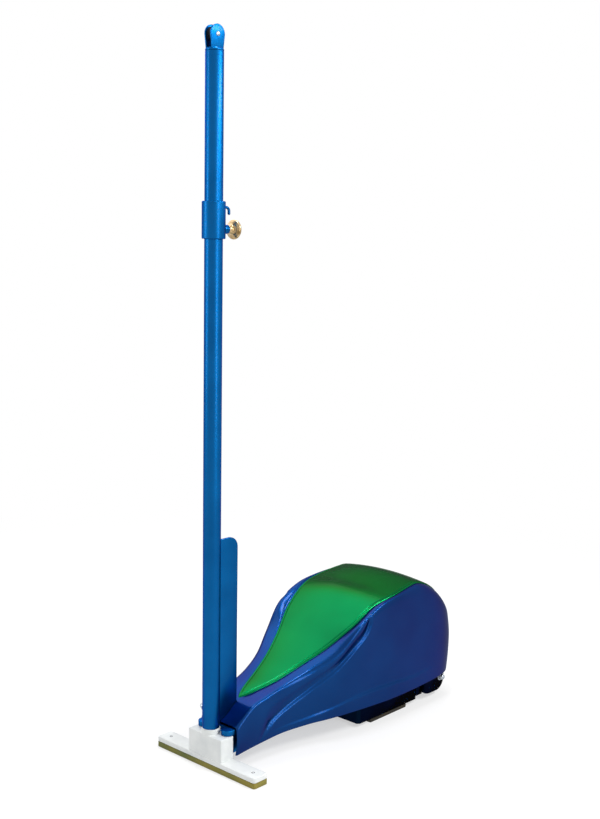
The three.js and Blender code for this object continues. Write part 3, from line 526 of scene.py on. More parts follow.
@dataclass(frozen=True)
class FlakePaint(Finish):
    """Satin metallic paint on the steelwork, with fine flakes and a slight drift of tone."""

    deep: Colour = (4, 78, 134)
    bright: Colour = (8, 92, 152)
    rim: Colour = (110, 150, 212)
    flakes: float = 1900.0
    flake_share: float = 0.45
    drift: float = 14.0
    tone_span: Point = (0.34, 0.66)
    gloss: Point = (0.36, 0.42)
    grain: float = 900.0
    grain_depth: float = 0.01
    grain_strength: float = 0.25
    coat: float = 0.06
    coat_roughness: float = 0.1

    def wire(self, graph: NodeGraph) -> None:
        """Wires flakes over a drift of tone, under a thin clear coat."""
        drift = graph.noise(self.drift, detail=3)
        flakes = graph.noise(self.flakes, detail=1)
        mix = graph.blend(flakes, drift, self.flake_share)
        low, high = self.tone_span
        graph.close(
            graph.tones(mix, [(low, self.deep), (high, self.bright)]),
            graph.spread(drift, *self.gloss),
            graph.relief(graph.noise(self.grain), self.grain_depth, self.grain_strength),
            Metallic=1.0, Specular_Tint=to_linear(self.rim),
            Coat_Weight=self.coat, Coat_Roughness=self.coat_roughness)


@dataclass(frozen=True)
class GlossShell(Finish):
    """Glossy moulded shell with a clear coat and a trace of orange peel."""

    deep: Colour
    bright: Colour
    sheen: Colour
    metallic: float
    level: float
    coat: float
    index: float = 1.45
    coat_roughness: float = 0.05
    flakes: float = 2400.0
    flake_share: float = 0.2
    drift: float = 6.0
    tone_span: Point = (0.32, 0.68)
    haze: float = 40.0
    gloss: Point = (0.28, 0.32)
    peel: float = 120.0
    peel_depth: float = 0.005
    peel_strength: float = 0.1

    def wire(self, graph: NodeGraph) -> None:
        """Wires a drift of tone with a trace of flakes, under a rippled clear coat."""
        flakes = graph.noise(self.flakes, detail=1)
        mix = graph.blend(flakes, graph.noise(self.drift), self.flake_share)
        low, high = self.tone_span
        graph.close(
            graph.tones(mix, [(low, self.deep), (high, self.bright)]),
            graph.spread(graph.noise(self.haze, detail=3), *self.gloss),
            graph.relief(graph.noise(self.peel), self.peel_depth, self.peel_strength),
            Metallic=self.metallic, Specular_IOR_Level=self.level, IOR=self.index,
            Specular_Tint=to_linear(self.sheen), Coat_Weight=self.coat,
            Coat_Roughness=self.coat_roughness)


@dataclass(frozen=True)
class PowderCoat(Finish):
    """Baked powder coating, mottled a little and pebbled at a fine grain."""

    shade: Colour
    body: Colour
    tone_places: Point = (0.3, 0.55)
    mottle: float = 24.0
    haze: float = 90.0
    gloss: Point = (0.36, 0.46)
    grain: float = 900.0
    grain_depth: float = 0.06
    grain_strength: float = 0.5
    level: float = 0.4

    def wire(self, graph: NodeGraph) -> None:
        """Wires the mottled tone and the pebbled surface."""
        stops = list(zip(self.tone_places, (self.shade, self.body)))
        graph.close(
            graph.tones(graph.noise(self.mottle, detail=4), stops),
            graph.spread(graph.noise(self.haze, detail=3), *self.gloss),
            graph.relief(graph.noise(self.grain), self.grain_depth, self.grain_strength),
            Metallic=0.0, Specular_IOR_Level=self.level)


@dataclass(frozen=True)
class MouldedRubber(Finish):
    """Moulded rubber or nylon with worn patches and a fine matt grain."""

    dark: Colour
    body: Colour
    worn: Colour
    gloss: Point = (0.62, 0.82)
    patch: float = 26.0
    tone_places: tuple[float, ...] = (0.3, 0.5, 0.72)
    grain: float = 1400.0
    pores: float = 700.0
    pore_share: float = 0.4
    grain_depth: float = 0.12
    grain_strength: float = 0.6
    level: float = 0.35

    def wire(self, graph: NodeGraph) -> None:
        """Wires the worn patches and the porous grain."""
        patches = graph.noise(self.patch, detail=3)
        pores = graph.maths("MULTIPLY", graph.cells(self.pores), self.pore_share)
        grain = graph.maths("ADD", graph.noise(self.grain), pores)
        graph.close(
            graph.tones(
                patches, list(zip(self.tone_places, (self.dark, self.body, self.worn)))),
            graph.spread(patches, *self.gloss),
            graph.relief(grain, self.grain_depth, self.grain_strength),
            Metallic=0.0, Specular_IOR_Level=self.level)


@dataclass(frozen=True)
class TurnedMetal(Finish):
    """Polished or plated metal with the fine rings of a lathe about one axis."""

    dark: Colour
    body: Colour
    axis: Axis
    centre: Place
    gloss: Point
    rings: float = 2600.0
    ring_depth: float = 0.004
    ring_strength: float = 0.5
    film: float = 60.0
    tone_places: Point = (0.3, 0.6)

    def wire(self, graph: NodeGraph) -> None:
        """Wires the lathe's rings under a thin film of varying sheen."""
        kept = tuple(0.0 if axis is self.axis else 1.0 for axis in Axis)
        move = tuple(-place * MM * keep for place, keep in zip(self.centre, kept))
        radius = graph.length(graph.mapped(kept, move))
        wave = graph.maths("SINE", graph.maths("MULTIPLY", radius, self.rings), 0.0)
        film = graph.noise(self.film, detail=3)
        graph.close(
            graph.tones(film, list(zip(self.tone_places, (self.dark, self.body)))),
            graph.spread(film, *self.gloss),
            graph.relief(wave, self.ring_depth, self.ring_strength), Metallic=1.0)


FINISHES: dict[Slot, Finish] = {
    Slot.BLUE_PAINT: FlakePaint("azure_flake_paint"),
    Slot.WHITE_PAINT: PowderCoat("white_powder_coat", (222, 226, 226), (234, 237, 236)),
    Slot.OLIVE_RUBBER: MouldedRubber(
        "olive_rubber", (82, 96, 48), (122, 118, 54), (146, 134, 62), patch=11.0),
    Slot.BRIGHT_STEEL: TurnedMetal(
        "plated_steel", (140, 147, 156), (184, 190, 197), Axis.X, (0.0, 682.0, 46.0), (0.16, 0.26)),
    Slot.BRASS: TurnedMetal(
        "turned_brass", (132, 106, 66), (190, 164, 122), Axis.Y, (0.0, 0.0, 1148.0), (0.24, 0.32)),
    Slot.BLACK_NYLON: MouldedRubber(
        "black_nylon", (14, 15, 18), (24, 26, 30), (40, 42, 46), gloss=(0.35, 0.5)),
    # Near-black tones: the tyres' own rubber, and painted shade on the rest pads, which wear this
    # finish too.
    Slot.TYRE_RUBBER: MouldedRubber("tyre_rubber", (22, 20, 13), (34, 30, 20), (56, 48, 34)),
    # The lower weight's own dark enamel; on the wheel guards and the foot screws it is painted
    # shade.
    Slot.IRON_PAINT: FlakePaint(
        "iron_flake_enamel", (0, 12, 28), (2, 24, 48), (50, 80, 120), coat=0.02),
    Slot.BLUE_GLOSS: GlossShell(
        "blue_shell", (4, 44, 98), (7, 56, 112), (60, 104, 150), metallic=0.88, level=0.15,
        coat=0.12),
    Slot.GREEN_GLOSS: GlossShell(
        "green_shell", (0, 95, 51), (0, 107, 58), (50, 110, 70), metallic=0.9, level=0.1,
        coat=0.06),
}

class Wardrobe:
    """Makes each finish once and dresses the CAD nodes with them."""

    def __init__(self) -> None:
        """Builds every finish."""
        self.materials = {slot: finish.make() for slot, finish in FINISHES.items()}

    def dress_nodes(self) -> None:
        """Gives every CAD node the finish of the slot that the record names for it."""
        for subpart in frame["record"]["subparts"]:
            name, slot = subpart["node"], Slot(subpart["material_slot"])
            for holder in frame["nodes"][name].material_slots:
                holder.material = self.materials[slot]
            LOG.info("node %s wears %s", name, slot.value)


class Workpiece:
    """A mesh in millimetres that operators shape before it becomes a piece."""

    def __init__(self) -> None:
        """Starts an empty mesh."""
        self.mesh = bmesh.new()

    def turned(
        self, profile: Sequence[Point], axis: Axis, centre: Place = (0, 0, 0), steps: int = 64,
        ring: bool = False,
    ) -> "Workpiece":
        """Adds a shape turned on a lathe.

        Args:
            profile: Radius and distance along the axis, point by point.
            axis: The axis it is turned about.
            centre: Where the profile's zero lies.
            steps: How many facets go round.
            ring: Whether the last point joins the first. Otherwise both lie on the axis.

        Returns:
            This workpiece.
        """
        verts = [self.mesh.verts.new((radius, 0.0, along)) for radius, along in profile]
        pairs = list(zip(verts, verts[1:]))
        if ring:
            pairs.append((verts[-1], verts[0]))
        edges = [self.mesh.edges.new(pair) for pair in pairs]
        before = set(self.mesh.verts) - set(verts)
        bmesh.ops.spin(
            self.mesh, geom=verts + edges, cent=(0, 0, 0), axis=(0, 0, 1), dvec=(0, 0, 0),
            angle=math.tau, steps=steps, use_merge=True, use_normal_flip=False,
            use_duplicate=False)
        added = [vert for vert in self.mesh.verts if vert not in before]
        self._set_down(added, axis, centre)
        bmesh.ops.remove_doubles(self.mesh, verts=added, dist=TURNING_MERGE)
        return self

    def plate(
        self, outline: Sequence[Point], axis: Axis, start: float, end: float, edge: float,
        steps: int = 2,
    ) -> "Workpiece":
        """Adds a flat plate with softened edges.

        Args:
            outline: The plate's corners, y and z along X, x and y along Z.
            axis: The direction of its thickness.
            start: Where its first face lies along the axis.
            end: Where its second face lies.
            edge: The width of the softened edges.
            steps: How many facets each softened edge has.

        Returns:
            This workpiece.
        """
        verts = [self.mesh.verts.new((across, along, start)) for across, along in outline]
        face = self.mesh.faces.new(verts)
        grown = bmesh.ops.extrude_face_region(self.mesh, geom=[face])["geom"]
        moved = [item for item in grown if isinstance(item, bmesh.types.BMVert)]
        bmesh.ops.translate(self.mesh, vec=(0, 0, end - start), verts=moved)
        everything = verts + moved
        self._set_down(everything, axis, (0, 0, 0))
        self._soften(everything, edge, steps)
        return self

    def block(self, low: Place, high: Place, edge: float, steps: int) -> "Workpiece":
        """Adds a block with softened edges.

        Args:
            low: Its lowest corner.
            high: Its highest corner.
            edge: The width of the softened edges.
            steps: How many facets each softened edge has.

        Returns:
            This workpiece.
        """
        size = Vector(high) - Vector(low)
        middle = (Vector(high) + Vector(low)) / 2
        verts = bmesh.ops.create_cube(self.mesh, size=1.0)["verts"]
        bmesh.ops.scale(self.mesh, vec=size, verts=verts)
        bmesh.ops.translate(self.mesh, vec=middle, verts=verts)
        self._soften(verts, edge, steps)
        return self

    def swept(self, path: Sequence[Place], radii: Sequence[float], sides: int) -> "Workpiece":
        """Adds a round bar along a path in a plane of constant x.

        Args:
            path: The middle of the bar, point by point.
            radii: The bar's radius at each point.
            sides: How many facets go round.

        Returns:
            This workpiece.
        """
        rings: list[list[bmesh.types.BMEdge]] = []
        last = len(path) - 1
        for index, (spot, radius) in enumerate(zip(path, radii)):
            ahead = Vector(path[min(index + 1, last)])
            behind = Vector(path[max(index - 1, 0)])
            turn = Vector((0, 0, 1)).rotation_difference((ahead - behind).normalized())
            made = bmesh.ops.create_circle(
                self.mesh, cap_ends=index in (0, last), radius=radius, segments=sides,
                matrix=Matrix.Translation(spot) @ turn.to_matrix().to_4x4())
            ring = set(made["verts"])
            rings.append([edge for edge in self.mesh.edges if set(edge.verts) <= ring])
        for first, second in zip(rings, rings[1:]):
            bmesh.ops.bridge_loops(self.mesh, edges=first + second)
        return self

    def sheet(self, columns: int, rows: int, place: Callable[[int, int], Place]) -> "Workpiece":
        """Adds an open sheet of quads.

        Args:
            columns: How many quads go across.
            rows: How many quads go along.
            place: Gives the place of the vertex at a column and a row.

        Returns:
            This workpiece.
        """
        grid = bmesh.ops.create_grid(self.mesh, x_segments=columns, y_segments=rows, size=1.0)
        for vert in grid["verts"]:
            column = round((vert.co.x + 1) / 2 * columns)
            row = round((vert.co.y + 1) / 2 * rows)
            vert.co = place(column, row)
        return self

    def mirrored(self) -> "Workpiece":
        """Adds the other half of the shape across x = 0 and joins the two.

        Returns:
            This workpiece.
        """
        whole = self.mesh.verts[:] + self.mesh.edges[:] + self.mesh.faces[:]
        bmesh.ops.mirror(self.mesh, geom=whole, axis="X", merge_dist=MIRROR_REACH)
        bmesh.ops.remove_doubles(self.mesh, verts=self.mesh.verts[:], dist=MIRROR_MERGE)
        return self

    def flipped_to(self, side: Side) -> "Workpiece":
        """Puts a shape made on the right on the side that is asked for."""
        bmesh.ops.scale(self.mesh, vec=(side.value, 1, 1), verts=self.mesh.verts[:])
        return self

    def _set_down(self, verts: Sequence[bmesh.types.BMVert], axis: Axis, centre: Place) -> None:
        """Turns vertices built along Z to an axis and moves them to their centre."""
        bmesh.ops.transform(self.mesh, matrix=axis.frame.to_4x4(), verts=list(verts))
        bmesh.ops.translate(self.mesh, vec=centre, verts=list(verts))

    def _soften(self, verts: Sequence[bmesh.types.BMVert], edge: float, steps: int) -> None:
        """Bevels the sharp edges among some vertices.

        Args:
            verts: The vertices of the shape.
            edge: The width of the bevel.
            steps: How many facets each bevel has.
        """
        faces = list({face for vert in verts for face in vert.link_faces})
        bmesh.ops.recalc_face_normals(self.mesh, faces=faces)
        mine = set(verts)
        sharp = [
            one for one in {line for vert in verts for line in vert.link_edges}
            if set(one.verts) <= mine and one.is_manifold
            and one.calc_face_angle() > math.radians(SHARP_DEGREES)]
        bmesh.ops.bevel(
            self.mesh, geom=sharp, offset=edge, offset_type="OFFSET", segments=steps, profile=0.5,
            affect="EDGES", material=-1, clamp_overlap=True)

    def stand_for(
        self, node: str, ending: str, slot: Slot, body: str = "post", crease: float = 32.0
    ) -> bpy.types.Object:
        """Makes the mesh the piece that stands for one CAD node, whose name the ending adds to."""
        return self.to_piece(f"{node}_{ending}", slot, body, [node], crease)

    def to_piece(
        self, name: str, slot: Slot, body: str, replaces: Sequence[str] = (), crease: float = 32.0
    ) -> bpy.types.Object:
        """Makes the finished mesh a piece of the object.

        Args:
            name: The piece's name.
            slot: The record's slot that its finish belongs to.
            body: The CAD body it rides on.
            replaces: The CAD nodes it stands for.
            crease: Edges that turn by more degrees than this stay sharp.

        Returns:
            The new object.
        """
        bmesh.ops.recalc_face_normals(self.mesh, faces=self.mesh.faces[:])
        bmesh.ops.scale(self.mesh, vec=(MM, MM, MM), verts=self.mesh.verts[:])
        data = bpy.data.meshes.new(name)
        self.mesh.to_mesh(data)
        self.mesh.free()
        data.shade_smooth()
        data.set_sharp_from_angle(angle=math.radians(crease))
        data.materials.append(WARDROBE.materials[slot])
        piece = add_object(name, data)
        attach(piece, body)
        if replaces:
            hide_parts(*replaces)
        LOG.info("piece %s: %d faces, rides on %s", name, len(data.polygons), body)
        return piece


WARDROBE = Wardrobe()


@dataclass
class Foot:
    """The rubber pad, the white casting of bar, block and neck, and the two screws in the bar."""

    half_length: float = 153.5
    half_depth: float = 20.75
    corner: float = 7.0
    pad_top: float = 11.7
    pad_edge: float = 0.9
    bar_bottom: float = 12.0
    bar_top: float = 23.5
    bar_edge: float = 2.2
    block_half: Point = (51.0, 18.8)
    block_top: float = 74.0
    block_edge: float = 2.4
    neck_radius: float = 20.05
    neck_sink: float = 6.0
    neck_top: float = 85.5
    neck_chamfer: Point = (1.0, 1.6)
    neck_round: float = 0.8
    spigot_radius: float = 15.75
    spigot_top: float = 149.5
    spigot_chamfer: float = 3.0
    screw_reach: float = 129.7
    screw_stand: float = 0.15
    screw_profile: tuple[Point, ...] = (
        (0.0, -17.0), (2.9, -17.0), (3.0, -4.0), (3.6, -2.4), (3.6, -0.3), (3.2, 0.0), (2.2, 0.0),
        (2.0, -1.6), (0.0, -2.0))

    def outline(self) -> list[Point]:
        """The rounded outline of the bar and the pad."""
        corners = rectangle(-self.half_length, self.half_length, -self.half_depth, self.half_depth)
        return eased(corners, self.corner, 8)

    def build(self) -> None:
        """Builds the foot's pieces."""
        pad = Workpiece().plate(self.outline(), Axis.Z, 0.0, self.pad_top, self.pad_edge)
        pad.stand_for("foot_pad", "rubber", Slot.OLIVE_RUBBER)
        wide, deep = self.block_half
        casting = Workpiece()
        casting.plate(self.outline(), Axis.Z, self.bar_bottom, self.bar_top, self.bar_edge, 3)
        casting.block(
            (-wide, -deep, self.bar_bottom + self.bar_edge), (wide, deep, self.block_top),
            self.block_edge, 4)
        casting.turned(self.neck_profile(), Axis.Z, steps=96)
        casting.stand_for("foot_casting", "coated", Slot.WHITE_PAINT)
        profile = shifted(self.screw_profile, self.bar_top + self.screw_stand)
        for side in Side:
            screw = Workpiece().turned(
                profile, Axis.Z, (side.value * self.screw_reach, 0.0, 0.0), 24)
            # The screws wear the dark iron enamel in place of the record's bright steel: painted
            # shade for their dark sockets.
            screw.stand_for(f"foot_screw_{side.label}", "fine", Slot.IRON_PAINT)

    def neck_profile(self) -> list[Point]:
        """The profile of the neck that carries the tube, and of the spigot inside it.

        Returns:
            The profile, from the axis out and back.
        """
        start = self.block_top - self.neck_sink
        inset, drop = self.neck_chamfer
        shoulder = [
            (0.0, start), (self.neck_radius, start), (self.neck_radius, self.neck_top - drop),
            (self.neck_radius - inset, self.neck_top), (self.spigot_radius, self.neck_top),
            (self.spigot_radius, self.spigot_top - self.spigot_chamfer),
            (self.spigot_radius - self.spigot_chamfer, self.spigot_top), (0.0, self.spigot_top)]
        return eased(shoulder, self.neck_round, 3, closed=False)


@dataclass
class Mast:
    """The post tube, its lock bolt, the plate welded behind it and the two weld beads."""

    tube_radius: float = 19.05
    tube_wall: float = 3.0
    tube_bottom: float = 85.8
    tube_top: float = 1498.0
    tube_round: float = 0.5
    bolt_height: float = 125.5
    bolt_bite: float = 9.0
    bolt_radius: float = 4.0
    bolt_round: float = 0.3
    washer_radius: float = 9.5
    washer_thickness: float = 1.6
    nut_height: float = 3.0
    dome_radius: float = 7.6
    dome_inset: float = 0.6
    dome_centre: float = 5.4
    plate_half: float = 3.0
    plate_near: float = 19.35
    plate_far: float = 74.0
    plate_bottom: float = 86.6
    plate_top: float = 496.0
    plate_corner: float = 24.0
    plate_edge: float = 0.9
    bead_radius: float = 1.5
    bead_ripple: float = 0.22
    bead_steps: int = 136
    bead_margin: float = 4.0
    bead_out: float = 0.5
    bead_in: float = 0.4

    def build(self) -> None:
        """Builds the mast's pieces."""
        wall = rectangle(
            self.tube_radius - self.tube_wall, self.tube_radius, self.tube_bottom, self.tube_top)
        tube = Workpiece().turned(eased(wall, self.tube_round, 2), Axis.Z, steps=128, ring=True)
        tube.stand_for("post_tube", "painted", Slot.BLUE_PAINT)
        self.make_bolt()
        self.make_plate()
        self.make_beads()

    def make_bolt(self) -> None:
        """Builds the lock bolt with its washer and dome nut."""
        seat = -self.tube_radius - GAP
        face = seat - self.washer_thickness
        centre = (0.0, 0.0, self.bolt_height)
        shank = [
            (0.0, -self.bolt_bite), (self.bolt_radius, -self.bolt_bite), (self.bolt_radius, seat),
            (self.washer_radius, seat), (self.washer_radius, face), (0.0, face)]
        nut = Workpiece().turned(
            eased(shank, self.bolt_round, 2, closed=False), Axis.X, centre, 40)
        dome = [(0.0, face), (self.dome_radius, face), (self.dome_radius, face - self.nut_height)]
        cap = arc((seat - self.dome_centre, 0.0), self.dome_radius - self.dome_inset, 90, 180, 12)
        dome += [(max(radius, 0.0), along) for along, radius in cap]
        nut.turned(dome, Axis.X, centre, 40)
        nut.stand_for("post_lock_bolt", "dome", Slot.BRIGHT_STEEL)

    def make_plate(self) -> None:
        """Builds the upright plate."""
        radius = self.plate_corner
        outline = [
            (self.plate_near, self.plate_bottom), (self.plate_far, self.plate_bottom),
            *arc((self.plate_far - radius, self.plate_top - radius), radius, 0, 90, 14),
            (self.plate_near, self.plate_top)]
        plate = Workpiece().plate(
            outline, Axis.X, -self.plate_half, self.plate_half, self.plate_edge, 3)
        plate.stand_for("back_plate", "painted", Slot.BLUE_PAINT)

    def make_beads(self) -> None:
        """Builds the rippled weld beads that hold the plate to the tube."""
        steps = range(self.bead_steps + 1)
        start = self.plate_bottom + self.bead_margin
        step = (self.plate_top - self.plate_bottom - 2 * self.bead_margin) / self.bead_steps
        radii = [self.bead_radius + self.bead_ripple * math.sin(i * math.tau / 4) for i in steps]
        for side in Side:
            across = side.value * (self.plate_half + self.bead_out)
            path = [(across, self.plate_near - self.bead_in, start + step * i) for i in steps]
            bead = Workpiece().swept(path, radii, 8)
            bead.to_piece(f"back_plate_weld_{side.label}", Slot.BLUE_PAINT, "post")


@dataclass
class Clevis:
    """The fork plugged into the top of the tube, with the cord pulley and its pin."""

    tube_radius: float = 19.05
    seat: float = 1498.3
    plug_bottom: float = 1458.0
    plug_radius: float = 15.75
    shoulder_top: float = 1505.3
    shoulder_inset: float = 3.5
    shoulder_round: float = 1.2
    pin_height: float = 1530.95
    pin_radius: float = 3.0
    cheek_inner: float = 6.9
    cheek_outer: float = 9.9
    cheek_base: float = 15.0
    cheek_sink: float = 1.0
    cheek_edge: float = 0.5
    pulley_radius: float = 15.0
    pulley_half: float = 6.3
    groove_depth: float = 5.0
    groove_lip: float = 1.4
    hub_radii: Point = (6.5, 7.0)
    rim_widths: Point = (3.2, 2.7)
    web_recess: float = 0.8
    head_radius: float = 4.75
    head_base: float = 0.3
    head_dome: float = 1.2
    dome_angles: tuple[float, ...] = (1.1, 0.7, 0.3)

    @property
    def pin_place(self) -> Place:
        """The middle of the pin."""
        return 0.0, 0.0, self.pin_height

    def build(self) -> None:
        """Builds the clevis, the pulley and the pin."""
        inset = self.shoulder_inset
        plug = [
            (0.0, self.plug_bottom), (self.plug_radius, self.plug_bottom),
            (self.plug_radius, self.seat), (self.tube_radius, self.seat),
            (self.tube_radius, self.shoulder_top - inset),
            (self.tube_radius - inset, self.shoulder_top), (0.0, self.shoulder_top)]
        fork = Workpiece().turned(
            eased(plug, self.shoulder_round, 4, closed=False), Axis.Z, steps=96)
        rise = self.pin_height - self.shoulder_top
        lean = math.degrees(math.atan((self.tube_radius - self.cheek_base) / rise))
        low = self.seat + self.cheek_sink
        cheek = [
            (-self.cheek_base, low), (self.cheek_base, low),
            *arc((0.0, self.pin_height), self.tube_radius, -lean, 180 + lean, 40)]
        for side in Side:
            faces = sorted((side.value * self.cheek_inner, side.value * self.cheek_outer))
            fork.plate(cheek, Axis.X, *faces, self.cheek_edge, 3)
        fork.stand_for("top_clevis", "painted", Slot.BLUE_PAINT)
        self.make_pulley()
        self.make_pin()

    def make_pulley(self) -> None:
        """Builds the grooved pulley."""
        half, rim, depth = self.pulley_half, self.pulley_radius, self.groove_depth
        groove = [
            (rim - depth + depth * (1 - math.cos(turn)), (half - self.groove_lip) * math.sin(turn))
            for turn in map(math.radians, range(-90, 91, 15))]
        web = self.web_recess - half
        face = [
            (self.pin_radius + GAP, -half), (self.hub_radii[0], -half), (self.hub_radii[1], web),
            (rim - self.rim_widths[0], web), (rim - self.rim_widths[1], -half), (rim, -half)]
        pulley = Workpiece().turned(
            doubled(face, between=groove), Axis.X, self.pin_place, 72, ring=True)
        pulley.stand_for("pulley", "grooved", Slot.BLACK_NYLON, "pulley")

    def make_pin(self) -> None:
        """Builds the riveted pin with a domed head at each end."""
        seat = self.cheek_outer + GAP
        dome = [
            (self.head_radius * math.cos(a), -seat - self.head_base - self.head_dome * math.sin(a))
            for a in self.dome_angles]
        half = [
            (0.0, -seat - self.head_base - self.head_dome), *dome, (self.head_radius, -seat),
            (self.pin_radius, -seat)]
        pin = Workpiece().turned(doubled(half), Axis.X, self.pin_place, 32)
        pin.stand_for("pulley_pin", "riveted", Slot.BRIGHT_STEEL)


@dataclass
class CordTightener:
    """The sliding collar with its boss, the cord hook, and the clamp of knob and screw."""

    bore: float = 19.35
    radius: float = 24.45
    bottom: float = 1128.0
    top: float = 1204.0
    edge: float = 2.4
    clamp_height: float = 1148.0
    boss_radius: float = 9.25
    boss_start: float = 21.0
    boss_reach: float = 38.6
    boss_round: float = 0.9
    boss_weld: tuple[Point, ...] = (
        (-0.6, 21.4), (1.8, 21.4), (1.5, 23.6), (0.5, 25.2), (-0.6, 26.2))
    screw_radius: float = 4.0
    screw_start: float = 22.9
    screw_end: float = 52.1
    thread_pitch: float = 1.2
    thread_root: float = 0.55
    thread_crest: float = 0.05
    screw_end_inset: float = 0.7
    hook_height: float = 1192.6
    hook_start: float = 20.0
    hook_straight: float = 27.0
    hook_reach: float = 42.7
    hook_bend: float = 8.0
    hook_leg: float = 4.5
    hook_radius: float = 3.0
    hook_tip: tuple[float, ...] = (22, 44, 62, 78, 88)
    hook_least: float = 0.1
    hook_weld: tuple[Point, ...] = (
        (2.4, 22.5), (4.6, 23.4), (4.4, 24.9), (3.4, 25.9), (2.4, 26.2))
    knob_start: float = 38.9
    knob_neck_end: float = 52.4
    knob_end: float = 60.9
    knob_face: tuple[Point, ...] = (
        (0.0, 0.9), (9.0, 0.4), (13.8, -0.6), (14.6, -0.8), (15.6, -0.1))
    knob_flare: tuple[Point, ...] = (
        (17.0, 13.0), (14.2, 12.0), (11.4, 10.0), (9.6, 7.2), (9.0, 4.0), (9.0, 0.6), (8.6, 0.0))
    rim_radius: float = 17.0
    rim_lift: float = 0.4
    rim_half: Point = (3.5, 4.3)

    @property
    def clamp_place(self) -> Place:
        """Where the clamp screw's axis meets the post's."""
        return 0.0, 0.0, self.clamp_height

    @property
    def hole_radius(self) -> float:
        """The radius of a hole that the screw goes into."""
        return self.screw_radius + GAP

    def build(self) -> None:
        """Builds the tightener's pieces."""
        self.make_collar()
        self.make_hook()
        self.make_screw()
        self.make_knob()

    def make_collar(self) -> None:
        """Builds the collar with the boss that carries the clamp screw."""
        wall = eased(rectangle(self.bore, self.radius, self.bottom, self.top), self.edge, 5)
        collar = Workpiece().turned(wall, Axis.Z, steps=128, ring=True)
        boss = rectangle(self.hole_radius, self.boss_radius, self.boss_start, self.boss_reach)
        weld = [(self.boss_radius + out, along) for out, along in self.boss_weld]
        for profile in (eased(boss, self.boss_round, 3), weld):
            collar.turned(profile, Axis.Y, self.clamp_place, 48, ring=True)
        collar.stand_for("slider_collar", "painted", Slot.BLUE_PAINT, "slider")

    def make_hook(self) -> None:
        """Builds the bent cord hook with its rounded tip and the weld at its root."""
        bend_y = self.hook_reach - self.hook_bend
        bend_z = self.hook_height - self.hook_bend
        tip = bend_z - self.hook_leg
        bend = arc((bend_y, bend_z), self.hook_bend, 90, 0, 12)
        line = [
            (self.hook_start, self.hook_height), (self.hook_straight, self.hook_height), *bend,
            (self.hook_reach, tip)]
        radii = [self.hook_radius] * len(line)
        for angle in map(math.radians, self.hook_tip):
            line.append((self.hook_reach, tip - self.hook_radius * math.sin(angle)))
            radii.append(max(self.hook_radius * math.cos(angle), self.hook_least))
        hook = Workpiece().swept([(0.0, along, height) for along, height in line], radii, 20)
        hook.turned(self.hook_weld, Axis.Y, (0.0, 0.0, self.hook_height), 24, ring=True)
        hook.stand_for("cord_hook", "bent", Slot.BLUE_PAINT, "slider")

    def make_screw(self) -> None:
        """Builds the clamp screw with its thread."""
        outer, pitch = self.screw_radius, self.thread_pitch
        end_radius = outer - self.screw_end_inset
        profile: list[Point] = [(0.0, self.screw_start), (end_radius, self.screw_start)]
        along = self.screw_start + pitch / 2
        while along < self.screw_end - pitch:
            profile += [
                (outer - self.thread_root, along), (outer - self.thread_crest, along + pitch / 2)]
            along += pitch
        profile += [(end_radius, self.screw_end), (0.0, self.screw_end)]
        screw = Workpiece().turned(profile, Axis.Y, self.clamp_place, 32)
        screw.stand_for("clamp_screw", "threaded", Slot.BRIGHT_STEEL, "clamp_knob")

    def make_knob(self) -> None:
        """Builds the brass knob: a flared neck under a thick rounded disc."""
        middle = (self.knob_neck_end + self.knob_end) / 2 + self.rim_lift
        out, up = self.rim_half
        rim = [
            (self.rim_radius + out * math.cos(angle), middle + up * math.sin(angle))
            for angle in map(math.radians, range(80, -81, -16))]
        profile = [
            *shifted(self.knob_face, self.knob_end), *rim,
            *shifted(self.knob_flare, self.knob_start),
            (self.hole_radius, self.knob_start), (self.hole_radius, self.knob_neck_end),
            (0.0, self.knob_neck_end)]
        knob = Workpiece().turned(profile, Axis.Y, self.clamp_place, 96)
        knob.stand_for("clamp_knob", "turned", Slot.BRASS, "clamp_knob", 40)


